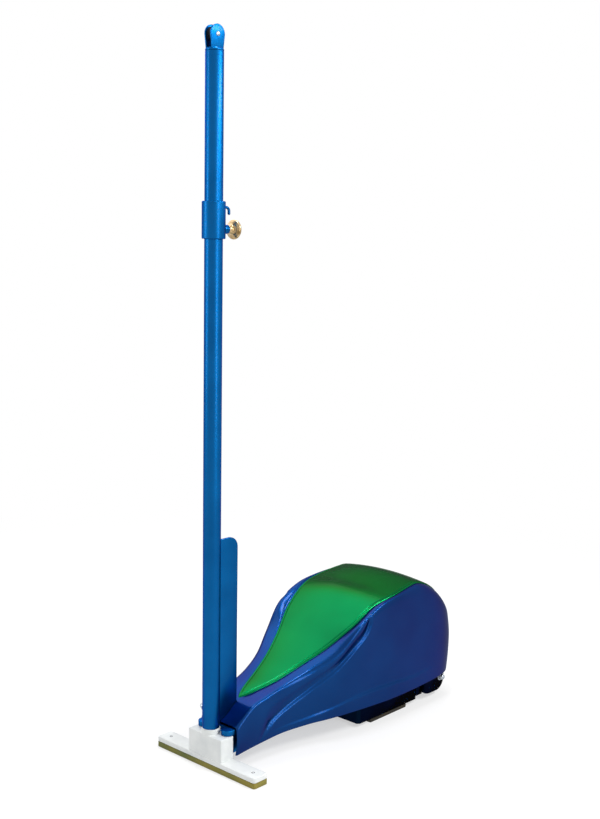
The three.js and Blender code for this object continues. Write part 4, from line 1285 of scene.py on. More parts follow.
@dataclass
class Chassis:
    """The fork plate with its two rails, and the lower weight with its pads."""

    plate_bottom: float = 74.3
    plate_top: float = 86.3
    plate_edge: float = 1.4
    slot_half: float = 21.5
    prong_radius: float = 14.5
    prong_tip: float = 1.5
    slot_end: float = 20.35
    taper_start: float = 200.0
    taper_end: float = 350.0
    wide_half: float = 98.0
    shoulder: float = 618.7
    tail_half: float = 53.7
    end: float = 700.0
    rail_inner: float = 34.0
    rail_outer: float = 42.0
    rail_start: float = 28.0
    rail_end: float = 371.7
    rail_bottom: float = 30.0
    rail_top: float = 74.0
    rail_edge: float = 1.0
    weight_half: float = 106.0
    weight_front: float = 372.0
    weight_rear: float = 598.0
    weight_bottom: float = 8.3
    weight_top: float = 74.0
    weight_chamfer: float = 6.0
    weight_edge: float = 1.5
    tail_inset: float = 1.0
    tail_sink: float = 3.0
    tail_depth: float = 21.0
    tail_bottom: float = 15.2
    pad_inner: float = 64.0
    pad_front: float = 417.0
    pad_rear: float = 555.0
    pad_top: float = 8.0
    pad_corner: float = 4.0
    pad_edge: float = 0.9

    def build(self) -> None:
        """Builds the chassis' pieces."""
        self.make_plate()
        pad_outline = eased(
            rectangle(self.pad_inner, self.weight_half, self.pad_front, self.pad_rear),
            self.pad_corner, 5)
        for side in Side:
            rail = Workpiece().block(
                (self.rail_inner, self.rail_start, self.rail_bottom),
                (self.rail_outer, self.rail_end, self.rail_top), self.rail_edge, 2)
            rail.flipped_to(side).stand_for(f"rail_{side.label}", "painted", Slot.BLUE_PAINT)
            # The rest pads are olive rubber but wear the near-black tyre rubber: painted shade for
            # the shadow under the weight.
            pad = Workpiece().plate(pad_outline, Axis.Z, 0.0, self.pad_top, self.pad_edge)
            pad.flipped_to(side).stand_for(f"rest_pad_{side.label}", "rubber", Slot.TYRE_RUBBER)
        self.make_weight()

    def make_plate(self) -> None:
        """Builds the fork plate with its two rounded prongs."""
        centre = self.slot_half + self.prong_radius
        nose = self.prong_tip + self.prong_radius
        outline = [
            (self.slot_half, self.slot_end), *arc((centre, nose), self.prong_radius, 180, 360, 20),
            (centre + self.prong_radius, self.taper_start), (self.wide_half, self.taper_end),
            (self.wide_half, self.shoulder), (self.tail_half, self.shoulder),
            (self.tail_half, self.end)]
        outline += [(-across, along) for across, along in reversed(outline)]
        plate = Workpiece().plate(
            outline, Axis.Z, self.plate_bottom, self.plate_top, self.plate_edge, 3)
        plate.stand_for("fork_plate", "painted", Slot.BLUE_PAINT)

    def make_weight(self) -> None:
        """Builds the cast lower weight with its bevelled corners and its raised tail."""
        cut, half = self.weight_chamfer, self.weight_half
        front, rear = self.weight_front, self.weight_rear
        outline = [
            (cut - half, front), (half - cut, front), (half, front + cut), (half, rear - cut),
            (half - cut, rear), (cut - half, rear), (-half, rear - cut), (-half, front + cut)]
        weight = Workpiece().plate(
            outline, Axis.Z, self.weight_bottom, self.weight_top, self.weight_edge, 2)
        half -= self.tail_inset
        weight.block(
            (-half, rear - self.tail_sink, self.tail_bottom),
            (half, rear + self.tail_depth, self.weight_top), self.tail_inset, 2)
        weight.stand_for("lower_weight", "cast", Slot.IRON_PAINT)


@dataclass
class Wheel:
    """One transport wheel: guard, dome nut, hub and tyre."""

    side: Side
    axle_y: float = 682.0
    axle_z: float = 46.0
    inner_face: float = 66.0
    outer_face: float = 100.0
    radius: float = 38.0
    tyre_depth: float = 11.0
    groove_spots: tuple[float, ...] = (-8.0, 0.0, 8.0)
    groove_depth: float = 1.6
    groove_half: Point = (1.3, 0.8)
    tread_round: Point = (4.0, 1.2)
    guard_inner: float = 54.0
    guard_outer: float = 112.0
    guard_wall: float = 4.0
    guard_front: float = 63.0
    guard_top: float = 46.0
    guard_bottom: float = -28.0
    guard_reach: float = 10.0
    guard_edge: float = 1.6
    web_edge: float = 0.8
    guard_slant: tuple[Point, ...] = ((-59.0, -30.4), (-50.0, -33.4), (-40.0, -35.0))
    guard_turn: Point = (-12.0, -5.0)
    guard_turn_radius: float = 30.0
    guard_heel: Point = (14.0, 6.0)
    inner_leg_radius: float = 18.0
    nut_bore: float = 6.3
    washer_radius: float = 10.0
    washer_thickness: float = 2.2
    washer_round: float = 0.4
    nut_profile: tuple[Point, ...] = ((6.3, 0.0), (8.0, 0.0), (8.0, 4.2), (7.4, 4.9))
    dome_centre: float = 5.2
    dome_radius: float = 7.2
    nut_hollow: tuple[Point, ...] = ((0.0, 8.7), (6.3, 8.4))
    hub_radii: tuple[float, ...] = (9.3, 15.0, 15.6)
    rim_widths: Point = (5.6, 5.0)
    web_half: float = 4.5
    hub_round: float = 0.8

    def build(self) -> None:
        """Builds the wheel's pieces."""
        self.make_guard()
        self.make_nut()
        self.make_hub()
        self.make_tyre()

    def rings(self, profiles: Sequence[Sequence[Point]], steps: int) -> Workpiece:
        """Turns rings about the axle.

        Args:
            profiles: The ring's profile, or one for each ring.
            steps: How many facets go round.

        Returns:
            The new workpiece, made on the right.
        """
        made = Workpiece()
        for profile in profiles:
            made.turned(profile, Axis.X, (0.0, self.axle_y, self.axle_z), steps, ring=True)
        return made

    def finish(
        self, made: Workpiece, part: str, ending: str, slot: Slot, turns: bool = False
    ) -> None:
        """Makes a workpiece a piece on this wheel's side, which turns with the wheel or stays."""
        body = f"wheel_{self.side.label}" if turns else "post"
        made.flipped_to(self.side).stand_for(f"{part}_{self.side.label}", ending, slot, body)

    def make_guard(self) -> None:
        """Builds the pressed guard: an outer leg, an inner leg and the webs between them."""
        corners = (-self.guard_front, self.guard_top), (self.guard_reach, self.guard_top)
        outer_leg = [
            corners[0], (-self.guard_front, self.guard_bottom), *self.guard_slant,
            *arc(self.guard_turn, self.guard_turn_radius, -90, 0, 14), self.guard_heel, corners[1]]
        inner_leg = [corners[0], *arc((0.0, 0.0), self.inner_leg_radius, 180, 360, 16), corners[1]]
        guard = Workpiece()
        wall = self.guard_wall
        for leg, start in ((outer_leg, self.guard_outer - wall), (inner_leg, self.guard_inner)):
            moved = [(along + self.axle_y, height + self.axle_z) for along, height in reversed(leg)]
            guard.plate(moved, Axis.X, start, start + wall, self.guard_edge, 3)
        top = self.axle_z + self.guard_top
        front = self.axle_y - self.guard_front
        rear = self.axle_y + self.guard_reach
        for low, back in ((self.axle_z + self.guard_bottom, front + wall), (top - wall, rear)):
            guard.block(
                (self.guard_inner, front, low), (self.guard_outer, back, top), self.web_edge, 2)
        # The guards wear the dark iron enamel in place of the record's blue paint: painted shade
        # for the shadow under the cover.
        self.finish(guard, "wheel_guard", "pressed", Slot.IRON_PAINT)

    def make_nut(self) -> None:
        """Builds the dome nut and its washer."""
        start = self.guard_outer + GAP
        base = start + self.washer_thickness
        washer = eased(
            rectangle(self.nut_bore, self.washer_radius, start, base), self.washer_round, 2)
        cap = arc((base + self.dome_centre, 0.0), self.dome_radius, 88, 0, 12)
        dome = [
            *shifted(self.nut_profile, base), *((max(radius, 0.0), along) for along, radius in cap),
            *shifted(self.nut_hollow, base)]
        self.finish(self.rings([washer, dome], 40), "axle_nut", "domed", Slot.BRIGHT_STEEL)

    def make_hub(self) -> None:
        """Builds the nylon hub with its rim, web and boss."""
        rim = self.radius - self.tyre_depth - GAP
        low = self.inner_face + GAP
        middle = (self.inner_face + self.outer_face) / 2
        web = middle - self.web_half
        bore, boss, foot = self.hub_radii
        half = [
            (bore, low), (boss, low), (foot, web), (rim - self.rim_widths[0], web),
            (rim - self.rim_widths[1], low), (rim, low)]
        ring = eased(doubled(half, middle), self.hub_round, 3)
        self.finish(self.rings([ring], 72), "wheel_hub", "moulded", Slot.BLACK_NYLON, turns=True)

    def make_tyre(self) -> None:
        """Builds the solid tyre with its rounded shoulders and three grooves."""
        low, outer = self.inner_face, self.radius
        middle = (self.inner_face + self.outer_face) / 2
        wide, slim = self.tread_round
        shoulder = [
            (outer - self.tyre_depth, low), (outer - wide, low), (outer - slim, low + slim),
            (outer, low + wide)]
        floor = outer - self.groove_depth
        top, bottom = self.groove_half
        grooves: list[Point] = []
        for spot in self.groove_spots:
            centre = middle + spot
            grooves += [
                (outer, centre - top), (floor, centre - bottom), (floor, centre + bottom),
                (outer, centre + top)]
        tread = doubled(shoulder, middle, grooves)
        self.finish(self.rings([tread], 96), "tyre", "treaded", Slot.TYRE_RUBBER, turns=True)


@dataclass(frozen=True)
class CoverRails:
    """The rails that the cover's cross sections follow, as shares of its sizes."""

    front: float = 24.0
    length: float = 724.0
    half_width: float = 138.0
    height: float = 311.0
    rear_start: float = 560.0
    rear_height: float = 150.0
    rear_plan: float = 3.94
    rear_top: Point = (1.61, 1.4)
    rear_tuck: float = 11.0
    rear_tuck_height: float = 90.0
    side_bulge: float = 4.0
    tip_half: float = 3.5
    shoulder_round: Point = (9.0, 24.0)
    shoulder_grow: Point = (0.09, 0.62)
    band_share: float = 0.8
    normal_reach: float = 0.6
    stations: tuple[float, ...] = (
        0, 0.03, 0.065, 0.12, 0.195, 0.278, 0.36, 0.443, 0.526, 0.616, 0.74, 1)
    shoulder_half: tuple[float, ...] = (
        0.41, 0.411, 0.421, 0.445, 0.499, 0.639, 0.848, 0.969, 0.989, 0.979, 0.943, 0.886)
    shoulder_height: tuple[float, ...] = (
        0.293, 0.35, 0.406, 0.443, 0.494, 0.567, 0.68, 0.868, 0.96, 0.989, 0.989, 0.969)
    centre_height: tuple[float, ...] = (
        0.2935, 0.33, 0.391, 0.446, 0.504, 0.591, 0.7, 0.84, 0.965, 0.999, 1.036, 1.051)
    rim_half: tuple[float, ...] = (
        0.4, 0.405, 0.412, 0.427, 0.46, 0.555, 0.685, 0.79, 0.87, 0.935, 0.968, 0.965)
    rim_height: tuple[float, ...] = (
        0.09, 0.099, 0.108, 0.12, 0.138, 0.15, 0.156, 0.164, 0.169, 0.174, 0.182, 0.198)
    panel_half: tuple[float, ...] = (
        0, 0, 0, 0.278, 0.516, 0.615, 0.67, 0.776, 0.841, 0.907, 0.887, 0.849)
    panel_crown: tuple[float, ...] = (
        0, 0, 0, 0.006, 0.012, 0.018, 0.027, 0.034, 0.039, 0.027, 0.03, 0.03)
    skirt_height: tuple[float, ...] = (
        0.13, 0.14, 0.15, 0.165, 0.185, 0.205, 0.24, 0.28, 0.296, 0.298, 0.288, 0.34)

    @property
    def rear_span(self) -> float:
        """The length of the rounded rear end."""
        return self.front + self.length - self.rear_start

    def read(self, rail: tuple[float, ...], along: float) -> float:
        """Reads a rail's smooth curve.

        Args:
            rail: Its shares at the stations.
            along: The place along the cover.

        Returns:
            The share there.
        """
        place = clamped((along - self.front) / self.length)
        last = len(self.stations) - 1
        index = next((i for i, station in enumerate(self.stations) if station > place), last) - 1
        span = self.stations[index + 1] - self.stations[index]
        share = (place - self.stations[index]) / span
        ease = share * share * (3 - 2 * share)
        leave = share * (1 - share) ** 2 * span * self._slope(rail, index)
        arrive = share * share * (share - 1) * span * self._slope(rail, index + 1)
        return rail[index] * (1 - ease) + rail[index + 1] * ease + leave + arrive

    def _slope(self, rail: tuple[float, ...], index: int) -> float:
        """The slope of a rail at a station, from the stations on its two sides.

        Args:
            rail: Its shares at the stations.
            index: Which station.

        Returns:
            The slope there.
        """
        before = max(index - 1, 0)
        after = min(index + 1, len(self.stations) - 1)
        return (rail[after] - rail[before]) / (self.stations[after] - self.stations[before])


@dataclass
class CoverSection:
    """One cross section of the cover's smooth skin, before any line is pressed into it."""

    rails: CoverRails
    along: float

    def __post_init__(self) -> None:
        """Reads the rails once."""
        rails = self.rails
        self.shoulder_x, self.rim_x = (
            rails.read(rail, self.along) * rails.half_width
            for rail in (rails.shoulder_half, rails.rim_half))
        self.shoulder_z, self.centre_z, self.rim_z, self.skirt_z, self.crown = (
            rails.read(rail, self.along) * rails.height
            for rail in (
                rails.shoulder_height, rails.centre_height, rails.rim_height,
                rails.skirt_height, rails.panel_crown))
        panel_share = rails.read(rails.panel_half, self.along)
        self.panel_x = max(panel_share * self.shoulder_x, rails.tip_half)
        slim, full = rails.shoulder_round
        grown = smoothstep((self.along - rails.front) / rails.length, *rails.shoulder_grow)
        self.round_side = slim + (full - slim) * grown
        self.round_top = min(self.round_side, (self.shoulder_x - self.panel_x) * rails.band_share)
        self.turn = clamped((self.along - rails.rear_start) / rails.rear_span)

    @cached_property
    def closing(self) -> Point:
        """What the rounded rear end leaves of the width, and of the height above the middle."""
        plan = self.rails.rear_plan
        rise, fall = self.rails.rear_top
        return (1 - self.turn**plan) ** (1 / plan), (1 - self.turn**rise) ** (1 / fall)

    def top(self, across: float) -> float:
        """The height of the crown or of the band beside it.

        Args:
            across: The distance from the middle.

        Returns:
            The height there.
        """
        edge_z = self.centre_z - self.crown
        if across <= self.panel_x:
            return self.centre_z - self.crown * (across / self.panel_x) ** 2
        share = (across - self.panel_x) / (self.shoulder_x - self.panel_x)
        return edge_z + (self.shoulder_z - edge_z) * share

    def flank(self, height: float) -> float:
        """The half width of the side.

        Args:
            height: The height to read it at.

        Returns:
            The half width there.
        """
        share = (self.shoulder_z - height) / (self.shoulder_z - self.rim_z)
        swell = self.rails.side_bulge * math.sin(math.pi * clamped(share))
        return self.shoulder_x + (self.rim_x - self.shoulder_x) * share + swell

    def spot(self, down: float) -> Point:
        """A point of the section.

        Args:
            down: How far past the shoulder it lies, negative towards the middle.

        Returns:
            Its distance from the middle and its height.
        """
        if down <= -self.round_top:
            across = self.shoulder_x + down
            return across, self.top(across)
        if down >= self.round_side:
            height = self.shoulder_z - down
            return self.flank(height), height
        share = (down + self.round_top) / (self.round_top + self.round_side)
        start_x = self.shoulder_x - self.round_top
        end_z = self.shoulder_z - self.round_side
        return bent(
            Vector((start_x, self.top(start_x))), Vector((self.shoulder_x, self.shoulder_z)),
            Vector((self.flank(end_z), end_z)), share)

    def outward(self, down: float) -> Point:
        """The direction that points out of the skin, within the section.

        Args:
            down: How far past the shoulder it is read.

        Returns:
            Its shares across and up.
        """
        before, after = (
            Vector(self.spot(down + reach))
            for reach in (-self.rails.normal_reach, self.rails.normal_reach))
        tangent = (after - before).normalized()
        return -tangent.y, tangent.x

    def closed_in(self, across: float, height: float) -> Place:
        """Moves a point of the section by the closing of the rear end.

        Args:
            across: The distance from the middle.
            height: The height.

        Returns:
            The finished place.
        """
        rails = self.rails
        width, rise = self.closing
        if height > rails.rear_height:
            height = rails.rear_height + (height - rails.rear_height) * rise
        below = max(0.0, rails.rear_height - height) / rails.rear_tuck_height
        along = self.along - rails.rear_tuck * below**2 * self.turn**2
        return across * width, along, height


@dataclass
class CoverRelief:
    """The lines pressed into the cover's side: the swept step, the skirt and the panel's seat."""

    rails: CoverRails
    step_height: float = 6.0
    step_curl_height: float = 2.8
    step_reach: tuple[float, ...] = (90.0, 420.0, 110.0)
    step_grow: Point = (88.0, 124.0)
    step_top: Point = (-8.0, 4.0)
    step_curl_end: float = 30.0
    step_edge: Point = (-2.5, 3.0)
    stretch: float = 1.9
    stretch_fade: Point = (-6.0, 24.0)
    scoop_slim: float = 9.0
    scoop_width: float = 26.0
    scoop_grow: Point = (0.0, 40.0)
    skirt_ledge: float = 3.5
    skirt_blend: float = 2.2
    skirt_grow: Point = (0.12, 0.26)
    skirt_fade: Point = (0.56, 0.88)
    seat_start: float = 84.0
    seat_depth: float = 1.3
    seat_width: float = 2.2
    seat_out: float = 1.2
    seat_grow: Point = (86.0, 100.0)
    seat_fade: Point = (652.0, 662.0)
    line_fill: int = 4
    step_line: tuple[Point, ...] = (
        (102.0, 86.0), (126.0, 66.5), (167.0, 55.8), (212.0, 48.5), (250.0, 45.0), (282.0, 44.0),
        (306.0, 46.5), (328.0, 50.5), (347.0, 51.5), (362.0, 46.5), (372.0, 35.0), (376.0, 22.0),
        (375.0, 9.0), (369.0, -3.0), (359.0, -12.0), (347.0, -18.0), (334.0, -22.0))

    @cached_property
    def step_path(self) -> list[Vector]:
        """The swept step's line, filled in smoothly between its points."""
        line = [Vector(point) for point in self.step_line]
        path: list[Vector] = []
        for index in range(len(line) - 1):
            before = line[max(index - 1, 0)]
            start, end = line[index], line[index + 1]
            after = line[min(index + 2, len(line) - 1)]
            for step in range(self.line_fill):
                share = step / self.line_fill
                path.append(
                    0.5 * (
                        2 * start + (end - before) * share
                        + (2 * before - 5 * start + 4 * end - after) * share**2
                        + (3 * start - before - 3 * end + after) * share**3))
        path.append(line[-1])
        return path

    def beyond_step(self, along: float, down: float) -> float:
        """The distance from the swept step's line, positive on the body's side.

        Args:
            along: The place along the cover.
            down: The place past the shoulder.

        Returns:
            The signed distance.
        """
        here = Vector((along, down))
        nearest = math.inf
        sign = 1.0
        path = self.step_path
        for start, end in zip(path, path[1:]):
            run = end - start
            share = clamped((here - start).dot(run) / run.length_squared)
            gap = here - (start + run * share)
            if gap.length_squared < nearest:
                nearest = gap.length_squared
                sign = 1.0 if run.x * gap.y - run.y * gap.x > 0 else -1.0
        return sign * math.sqrt(nearest)

    def lift(self, section: CoverSection, down: float) -> float:
        """How far the skin stands out of the smooth section.

        Args:
            section: The cross section.
            down: The place past the shoulder.

        Returns:
            The lift, negative where the skin is pressed in.
        """
        along = section.along
        total = 0.0
        start, end, low = self.step_reach
        if start < along < end and down < low:
            total += self._step(along, down)
        height = section.shoulder_z - down
        share = (along - self.rails.front) / self.rails.length
        kept = smoothstep(share, *self.skirt_grow) * (1 - smoothstep(share, *self.skirt_fade))
        if down > section.round_side and kept > 0:
            drop = section.skirt_z - height
            total += self.skirt_ledge * kept * smoothstep(drop, -self.skirt_blend, self.skirt_blend)
        if down < 0 and along > self.seat_start:
            total += self._seat(section, down)
        return total

    def _step(self, along: float, down: float) -> float:
        """The swept step with the groove at its foot and the lip at its top.

        Args:
            along: The place along the cover.
            down: The place past the shoulder.

        Returns:
            The lift, which is never above 0.
        """
        gap = self.beyond_step(along, down)
        grown = smoothstep(down, 0, self.step_curl_end)
        drop = self.step_curl_height + (self.step_height - self.step_curl_height) * grown
        drop *= smoothstep(along, *self.step_grow) * smoothstep(down, *self.step_top)
        gap /= self.stretch - (self.stretch - 1) * smoothstep(down, *self.stretch_fade)
        widened = smoothstep(down, *self.scoop_grow)
        reach = self.scoop_slim + (self.scoop_width - self.scoop_slim) * widened
        pressed = -drop * (1 - smoothstep(gap, *self.step_edge))
        return pressed if gap >= 0 else pressed * bell(gap, 0.0, reach)

    def _seat(self, section: CoverSection, down: float) -> float:
        """The narrow channel that the panel's edge sits in.

        Args:
            section: The cross section.
            down: The place past the shoulder.

        Returns:
            The lift, which is never above 0.
        """
        beside = section.shoulder_x + down - section.panel_x
        along = section.along
        kept = smoothstep(along, *self.seat_grow) * (1 - smoothstep(along, *self.seat_fade))
        return -self.seat_depth * kept * bell(beside, self.seat_out, self.seat_width)


@dataclass
class Cover:
    """The moulded cover over the weights, its raised panel, and the screws at its rear."""

    wall: float = 4.0
    wall_edge: float = 1.0
    slot_half: float = 4.0
    slot_end: float = 75.0
    front_roll: float = 4.0
    roll_shares: tuple[float, ...] = (1.0, 0.6, 0.3, 0.1)
    roll_fall: float = 0.3
    mouth_rows: tuple[float, ...] = (
        24.0, 24.3, 25.2, 26.6, 28.5, 32.0, 37.0, 42.0, 48.0, 54.0, 61.0, 68.0)
    slot_rows: tuple[float, int] = (4.8, 45)
    side_rows: tuple[tuple[float, float, int], ...] = ((290.0, 2.5, 45), (405.0, 5.0, 32))
    rear_rows: int = 36
    slot_land: float = 4.0
    edge_columns: tuple[float, ...] = (-1.6, -0.4, 0.6, 1.6, 2.8, 4.2)
    edge_lead: float = 3.0
    field_columns: tuple[float, ...] = (0.2, 0.4, 0.6, 0.8, 1.0)
    band_columns: tuple[float, ...] = (0.25, 0.5, 0.75, 1.0)
    bend_columns: int = 20
    side_columns: int = 62
    panel_front: float = 83.0
    panel_rear: float = 657.0
    panel_rise: float = 2.4
    panel_wall: float = 1.0
    panel_wall_edge: float = 0.15
    panel_tip: float = 12.0
    panel_least: float = 0.4
    panel_skirt: float = 1.2
    panel_field: float = 9.8
    panel_rear_pull: float = 1.4
    panel_rows: int = 110
    front_rows: tuple[float, ...] = (0.0, 0.02, 0.5, 1.2, 2.2, 3.4, 5.0)
    end_lead: float = 7.0
    end_rows: tuple[float, ...] = (5.0, 3.6, 2.4, 1.2, 0.4, 0.0)
    field_shares: tuple[float, ...] = (0.0, 0.15, 0.3, 0.45, 0.6, 0.75, 0.88, 1.0)
    lip_columns: tuple[float, ...] = (
        8.6, 7.4, 6.4, 5.4, 4.4, 3.6, 2.8, 2.0, 1.3, 0.7, 0.25, 0.0, 0.0)
    lip_shares: Point = (0.45, 0.55)
    lip_outer: Point = (-0.6, 1.8)
    lip_inner: Point = (5.0, 8.2)
    bead_height: float = 1.2
    bead_inset: float = 2.4
    bead_width: float = 1.7
    screw_reach: float = 28.0
    screw_height: float = 131.6
    screw_seat: float = 748.3
    shank_profile: tuple[Point, ...] = ((0.0, 732.2), (2.6, 732.2), (3.0, 733.0))
    head_profile: tuple[Point, ...] = (
        (3.0, 0.0), (5.6, 0.0), (6.0, 0.5), (5.9, 1.6), (5.0, 2.8), (3.4, 3.4), (2.2, 3.4),
        (2.0, 1.6), (0.0, 1.4))

    def __post_init__(self) -> None:
        """Sets out the rails and the pressed lines."""
        self.rails = CoverRails()
        self.relief = CoverRelief(self.rails)

    def build(self) -> None:
        """Builds the cover's pieces."""
        self.make_shell()
        self.make_panel()
        self.make_screws()

    def rows(self) -> list[float]:
        """The places along the cover that the skin has cross sections at.

        Returns:
            The places, bunched at the mouth and towards the rounded rear end.
        """
        runs = ((self.slot_end, *self.slot_rows), *self.side_rows)
        side = [start + step * i for start, step, count in runs for i in range(count)]
        turns = [math.radians(90 * i / self.rear_rows) for i in range(1, self.rear_rows + 1)]
        rails = self.rails
        rear = [rails.rear_start + rails.rear_span * math.sin(angle) for angle in turns]
        return [*self.mouth_rows, *side, *rear]

    def columns(self, section: CoverSection) -> list[float]:
        """The places down a cross section that the skin has points at.

        Args:
            section: The cross section.

        Returns:
            How far past the shoulder each lies, from the middle to the rim.
        """
        edge = max(section.panel_x, self.slot_half + self.slot_land)
        field = edge - self.edge_lead - self.slot_half
        across = [0.0, self.slot_half]
        across += [self.slot_half + field * share for share in self.field_columns]
        across += [edge + beside for beside in self.edge_columns]
        top_end = section.shoulder_x - section.round_top
        start = min(across[-1], top_end)
        across = [min(place, top_end) for place in across]
        across += [start + (top_end - start) * share for share in self.band_columns]
        places = [place - section.shoulder_x for place in across]
        bend = section.round_top + section.round_side
        count = self.bend_columns
        places += [bend * i / count - section.round_top for i in range(1, count + 1)]
        side_span = section.shoulder_z - section.rim_z - section.round_side
        count = self.side_columns
        places += [section.round_side + side_span * i / count for i in range(1, count + 1)]
        return places

    def make_shell(self) -> None:
        """Builds the skin from its cross sections, then mirrors it and gives it its wall."""
        sections = [CoverSection(self.rails, along) for along in self.rows()]
        columns = [self.columns(section) for section in sections]
        roll = dict(enumerate(self.roll_shares))

        def place(column: int, row: int) -> Place:
            """The place of one point of the skin.

            Args:
                column: Which place down the cross section.
                row: Which cross section.

            Returns:
                The place.
            """
            section = sections[row]
            down = columns[row][column]
            across, height = section.spot(down)
            out_x, out_z = section.outward(down)
            lift = self.relief.lift(section, down)
            rolled = self.front_roll * roll.get(row, 0.0) * max(out_x, 0.0)
            across += out_x * (lift - rolled)
            height += out_z * (lift - rolled * self.roll_fall)
            return section.closed_in(max(across, 0.0), height)

        skin = Workpiece().sheet(len(columns[0]) - 1, len(sections) - 1, place)
        width, end = self.slot_half + MIRROR_REACH, self.slot_end + MIRROR_REACH
        slot = [
            face for face in skin.mesh.faces
            if all(vert.co.x < width and vert.co.y < end for vert in face.verts)]
        bmesh.ops.delete(skin.mesh, geom=slot, context="FACES")
        shell = skin.mirrored().stand_for("cover_shell", "moulded", Slot.BLUE_GLOSS, crease=60)
        self.thicken(shell, self.wall, self.wall_edge)

    def thicken(self, piece: bpy.types.Object, wall: float, edge: float) -> None:
        """Gives an open skin its wall and rounds the wall's edges.

        Args:
            piece: The skin.
            wall: The wall's thickness.
            edge: The width of the rounded edges.
        """
        solid = piece.modifiers.new("wall", "SOLIDIFY")
        solid.thickness = wall * MM
        solid.offset = -1.0
        solid.use_even_offset = True
        bevel = piece.modifiers.new("edge", "BEVEL")
        bevel.width = edge * MM
        bevel.segments = 2
        bevel.limit_method = "ANGLE"
        bevel.angle_limit = math.radians(60)

    def panel_edge(self, section: CoverSection) -> float:
        """The panel's half width at a section, which closes to a rounded tip at the front."""
        share = clamped((section.along - self.panel_front) / self.panel_tip)
        return max(section.panel_x * math.sqrt(1 - (1 - share) ** 2), self.panel_least)

    def make_panel(self) -> None:
        """Builds the raised panel with the rounded bead along its edge."""
        front, rear = self.panel_front, self.panel_rear
        lead, count = self.end_lead, self.panel_rows
        field = rear - front - 2 * lead
        rows = [front + reach for reach in self.front_rows]
        rows += [front + lead + field * i / count for i in range(count + 1)]
        rows += [rear - reach for reach in self.end_rows]
        sections = [CoverSection(self.rails, along) for along in rows]
        inward, shares = self.lip_columns, self.field_shares
        last = len(shares) + len(inward) - 1

        def place(column: int, row: int) -> Place:
            """The place of one point of the panel's face.

            Args:
                column: Which place from the middle to the panel's edge.
                row: Which cross section.

            Returns:
                The place.
            """
            section = sections[row]
            half = self.panel_edge(section)
            shrink = min(1.0, half / self.panel_tip)
            if column < len(shares):
                across = (half - self.panel_field * shrink) * shares[column]
            else:
                across = half - inward[column - len(shares)] * shrink
            to_end = min(section.along - front, (rear - section.along) * self.panel_rear_pull)
            margin = min(half - across, max(to_end, 0.0))
            skirt = column == last or row in (0, len(rows) - 1)
            rise = -self.panel_skirt if skirt else self.face_rise(margin)
            height = section.top(min(across, section.panel_x))
            x, y, z = section.closed_in(across, height)
            return x, y, z + rise

        face = Workpiece().sheet(last, len(rows) - 1, place).mirrored()
        panel = face.stand_for("cover_panel", "raised", Slot.GREEN_GLOSS, crease=70)
        self.thicken(panel, self.panel_wall, self.panel_wall_edge)

    def face_rise(self, margin: float) -> float:
        """How far the panel's face stands above the cover.

        Args:
            margin: The distance from the panel's edge.

        Returns:
            The rise.
        """
        outer, inner = self.lip_shares
        lip = outer * smoothstep(margin, *self.lip_outer)
        lip += inner * smoothstep(margin, *self.lip_inner)
        bead = self.bead_height * bell(margin, self.bead_inset, self.bead_width)
        return self.panel_rise * lip + bead

    def make_screws(self) -> None:
        """Builds the two pan-head screws through the rear wall."""
        profile = [*self.shank_profile, *shifted(self.head_profile, self.screw_seat)]
        for side in Side:
            screw = Workpiece().turned(
                profile, Axis.Y, (side.value * self.screw_reach, 0.0, self.screw_height), 32)
            screw.stand_for(f"cover_screw_{side.label}", "panhead", Slot.BRIGHT_STEEL)


@dataclass(frozen=True)
class Softbox:
    """A soft rectangular studio lamp."""

    name: str
    place: Place
    target: Place
    size: Point
    power: float

    def hang(self) -> None:
        """Puts the lamp in the scene."""
        data = bpy.data.lights.new(self.name, "AREA")
        data.shape = "RECTANGLE"
        data.size, data.size_y = self.size
        data.energy = self.power
        lamp = add_object(self.name, data)
        lamp.location = self.place
        aim = Vector(self.target) - Vector(self.place)
        lamp.rotation_euler = aim.to_track_quat("-Z", "Y").to_euler()
        LOG.info("lamp %s hung", self.name)


@dataclass
class Viewpoint:
    """The photograph's viewing angle, in degrees and millimetres, and its frame in pixels."""

    turn: float = 42.62
    tilt: float = 8.127
    roll: float = 0.919
    focal: float = 1173.83
    origin_px: Point = (210.716, 764.012)
    distance: float = 2547.92
    frame_px: Point = (600.0, 819.0)
    sensor: float = 36.0

    def place_camera(self) -> None:
        """Creates the camera and makes it the scene's."""
        turn, tilt, roll = (math.radians(angle) for angle in (self.turn, self.tilt, self.roll))
        level = Vector((math.cos(turn), math.sin(turn), 0.0))
        ahead = Vector((
            -math.sin(turn) * math.cos(tilt), math.cos(turn) * math.cos(tilt), -math.sin(tilt)))
        upright = level.cross(ahead)
        right = level * math.cos(roll) + upright * math.sin(roll)
        above = upright * math.cos(roll) - level * math.sin(roll)
        across, down = (
            (spot - size / 2) / self.focal * self.distance
            for spot, size in zip(self.origin_px, self.frame_px))
        place = -(right * across - above * down + ahead * self.distance) * MM
        data = bpy.data.cameras.new("photo_view")
        data.sensor_width = self.sensor
        data.lens = self.sensor * self.focal / self.frame_px[1]
        camera = add_object("photo_view", data)
        axes = Matrix((right, above, -ahead)).transposed().to_4x4()
        camera.matrix_world = Matrix.Translation(place) @ axes
        bpy.context.scene.camera = camera


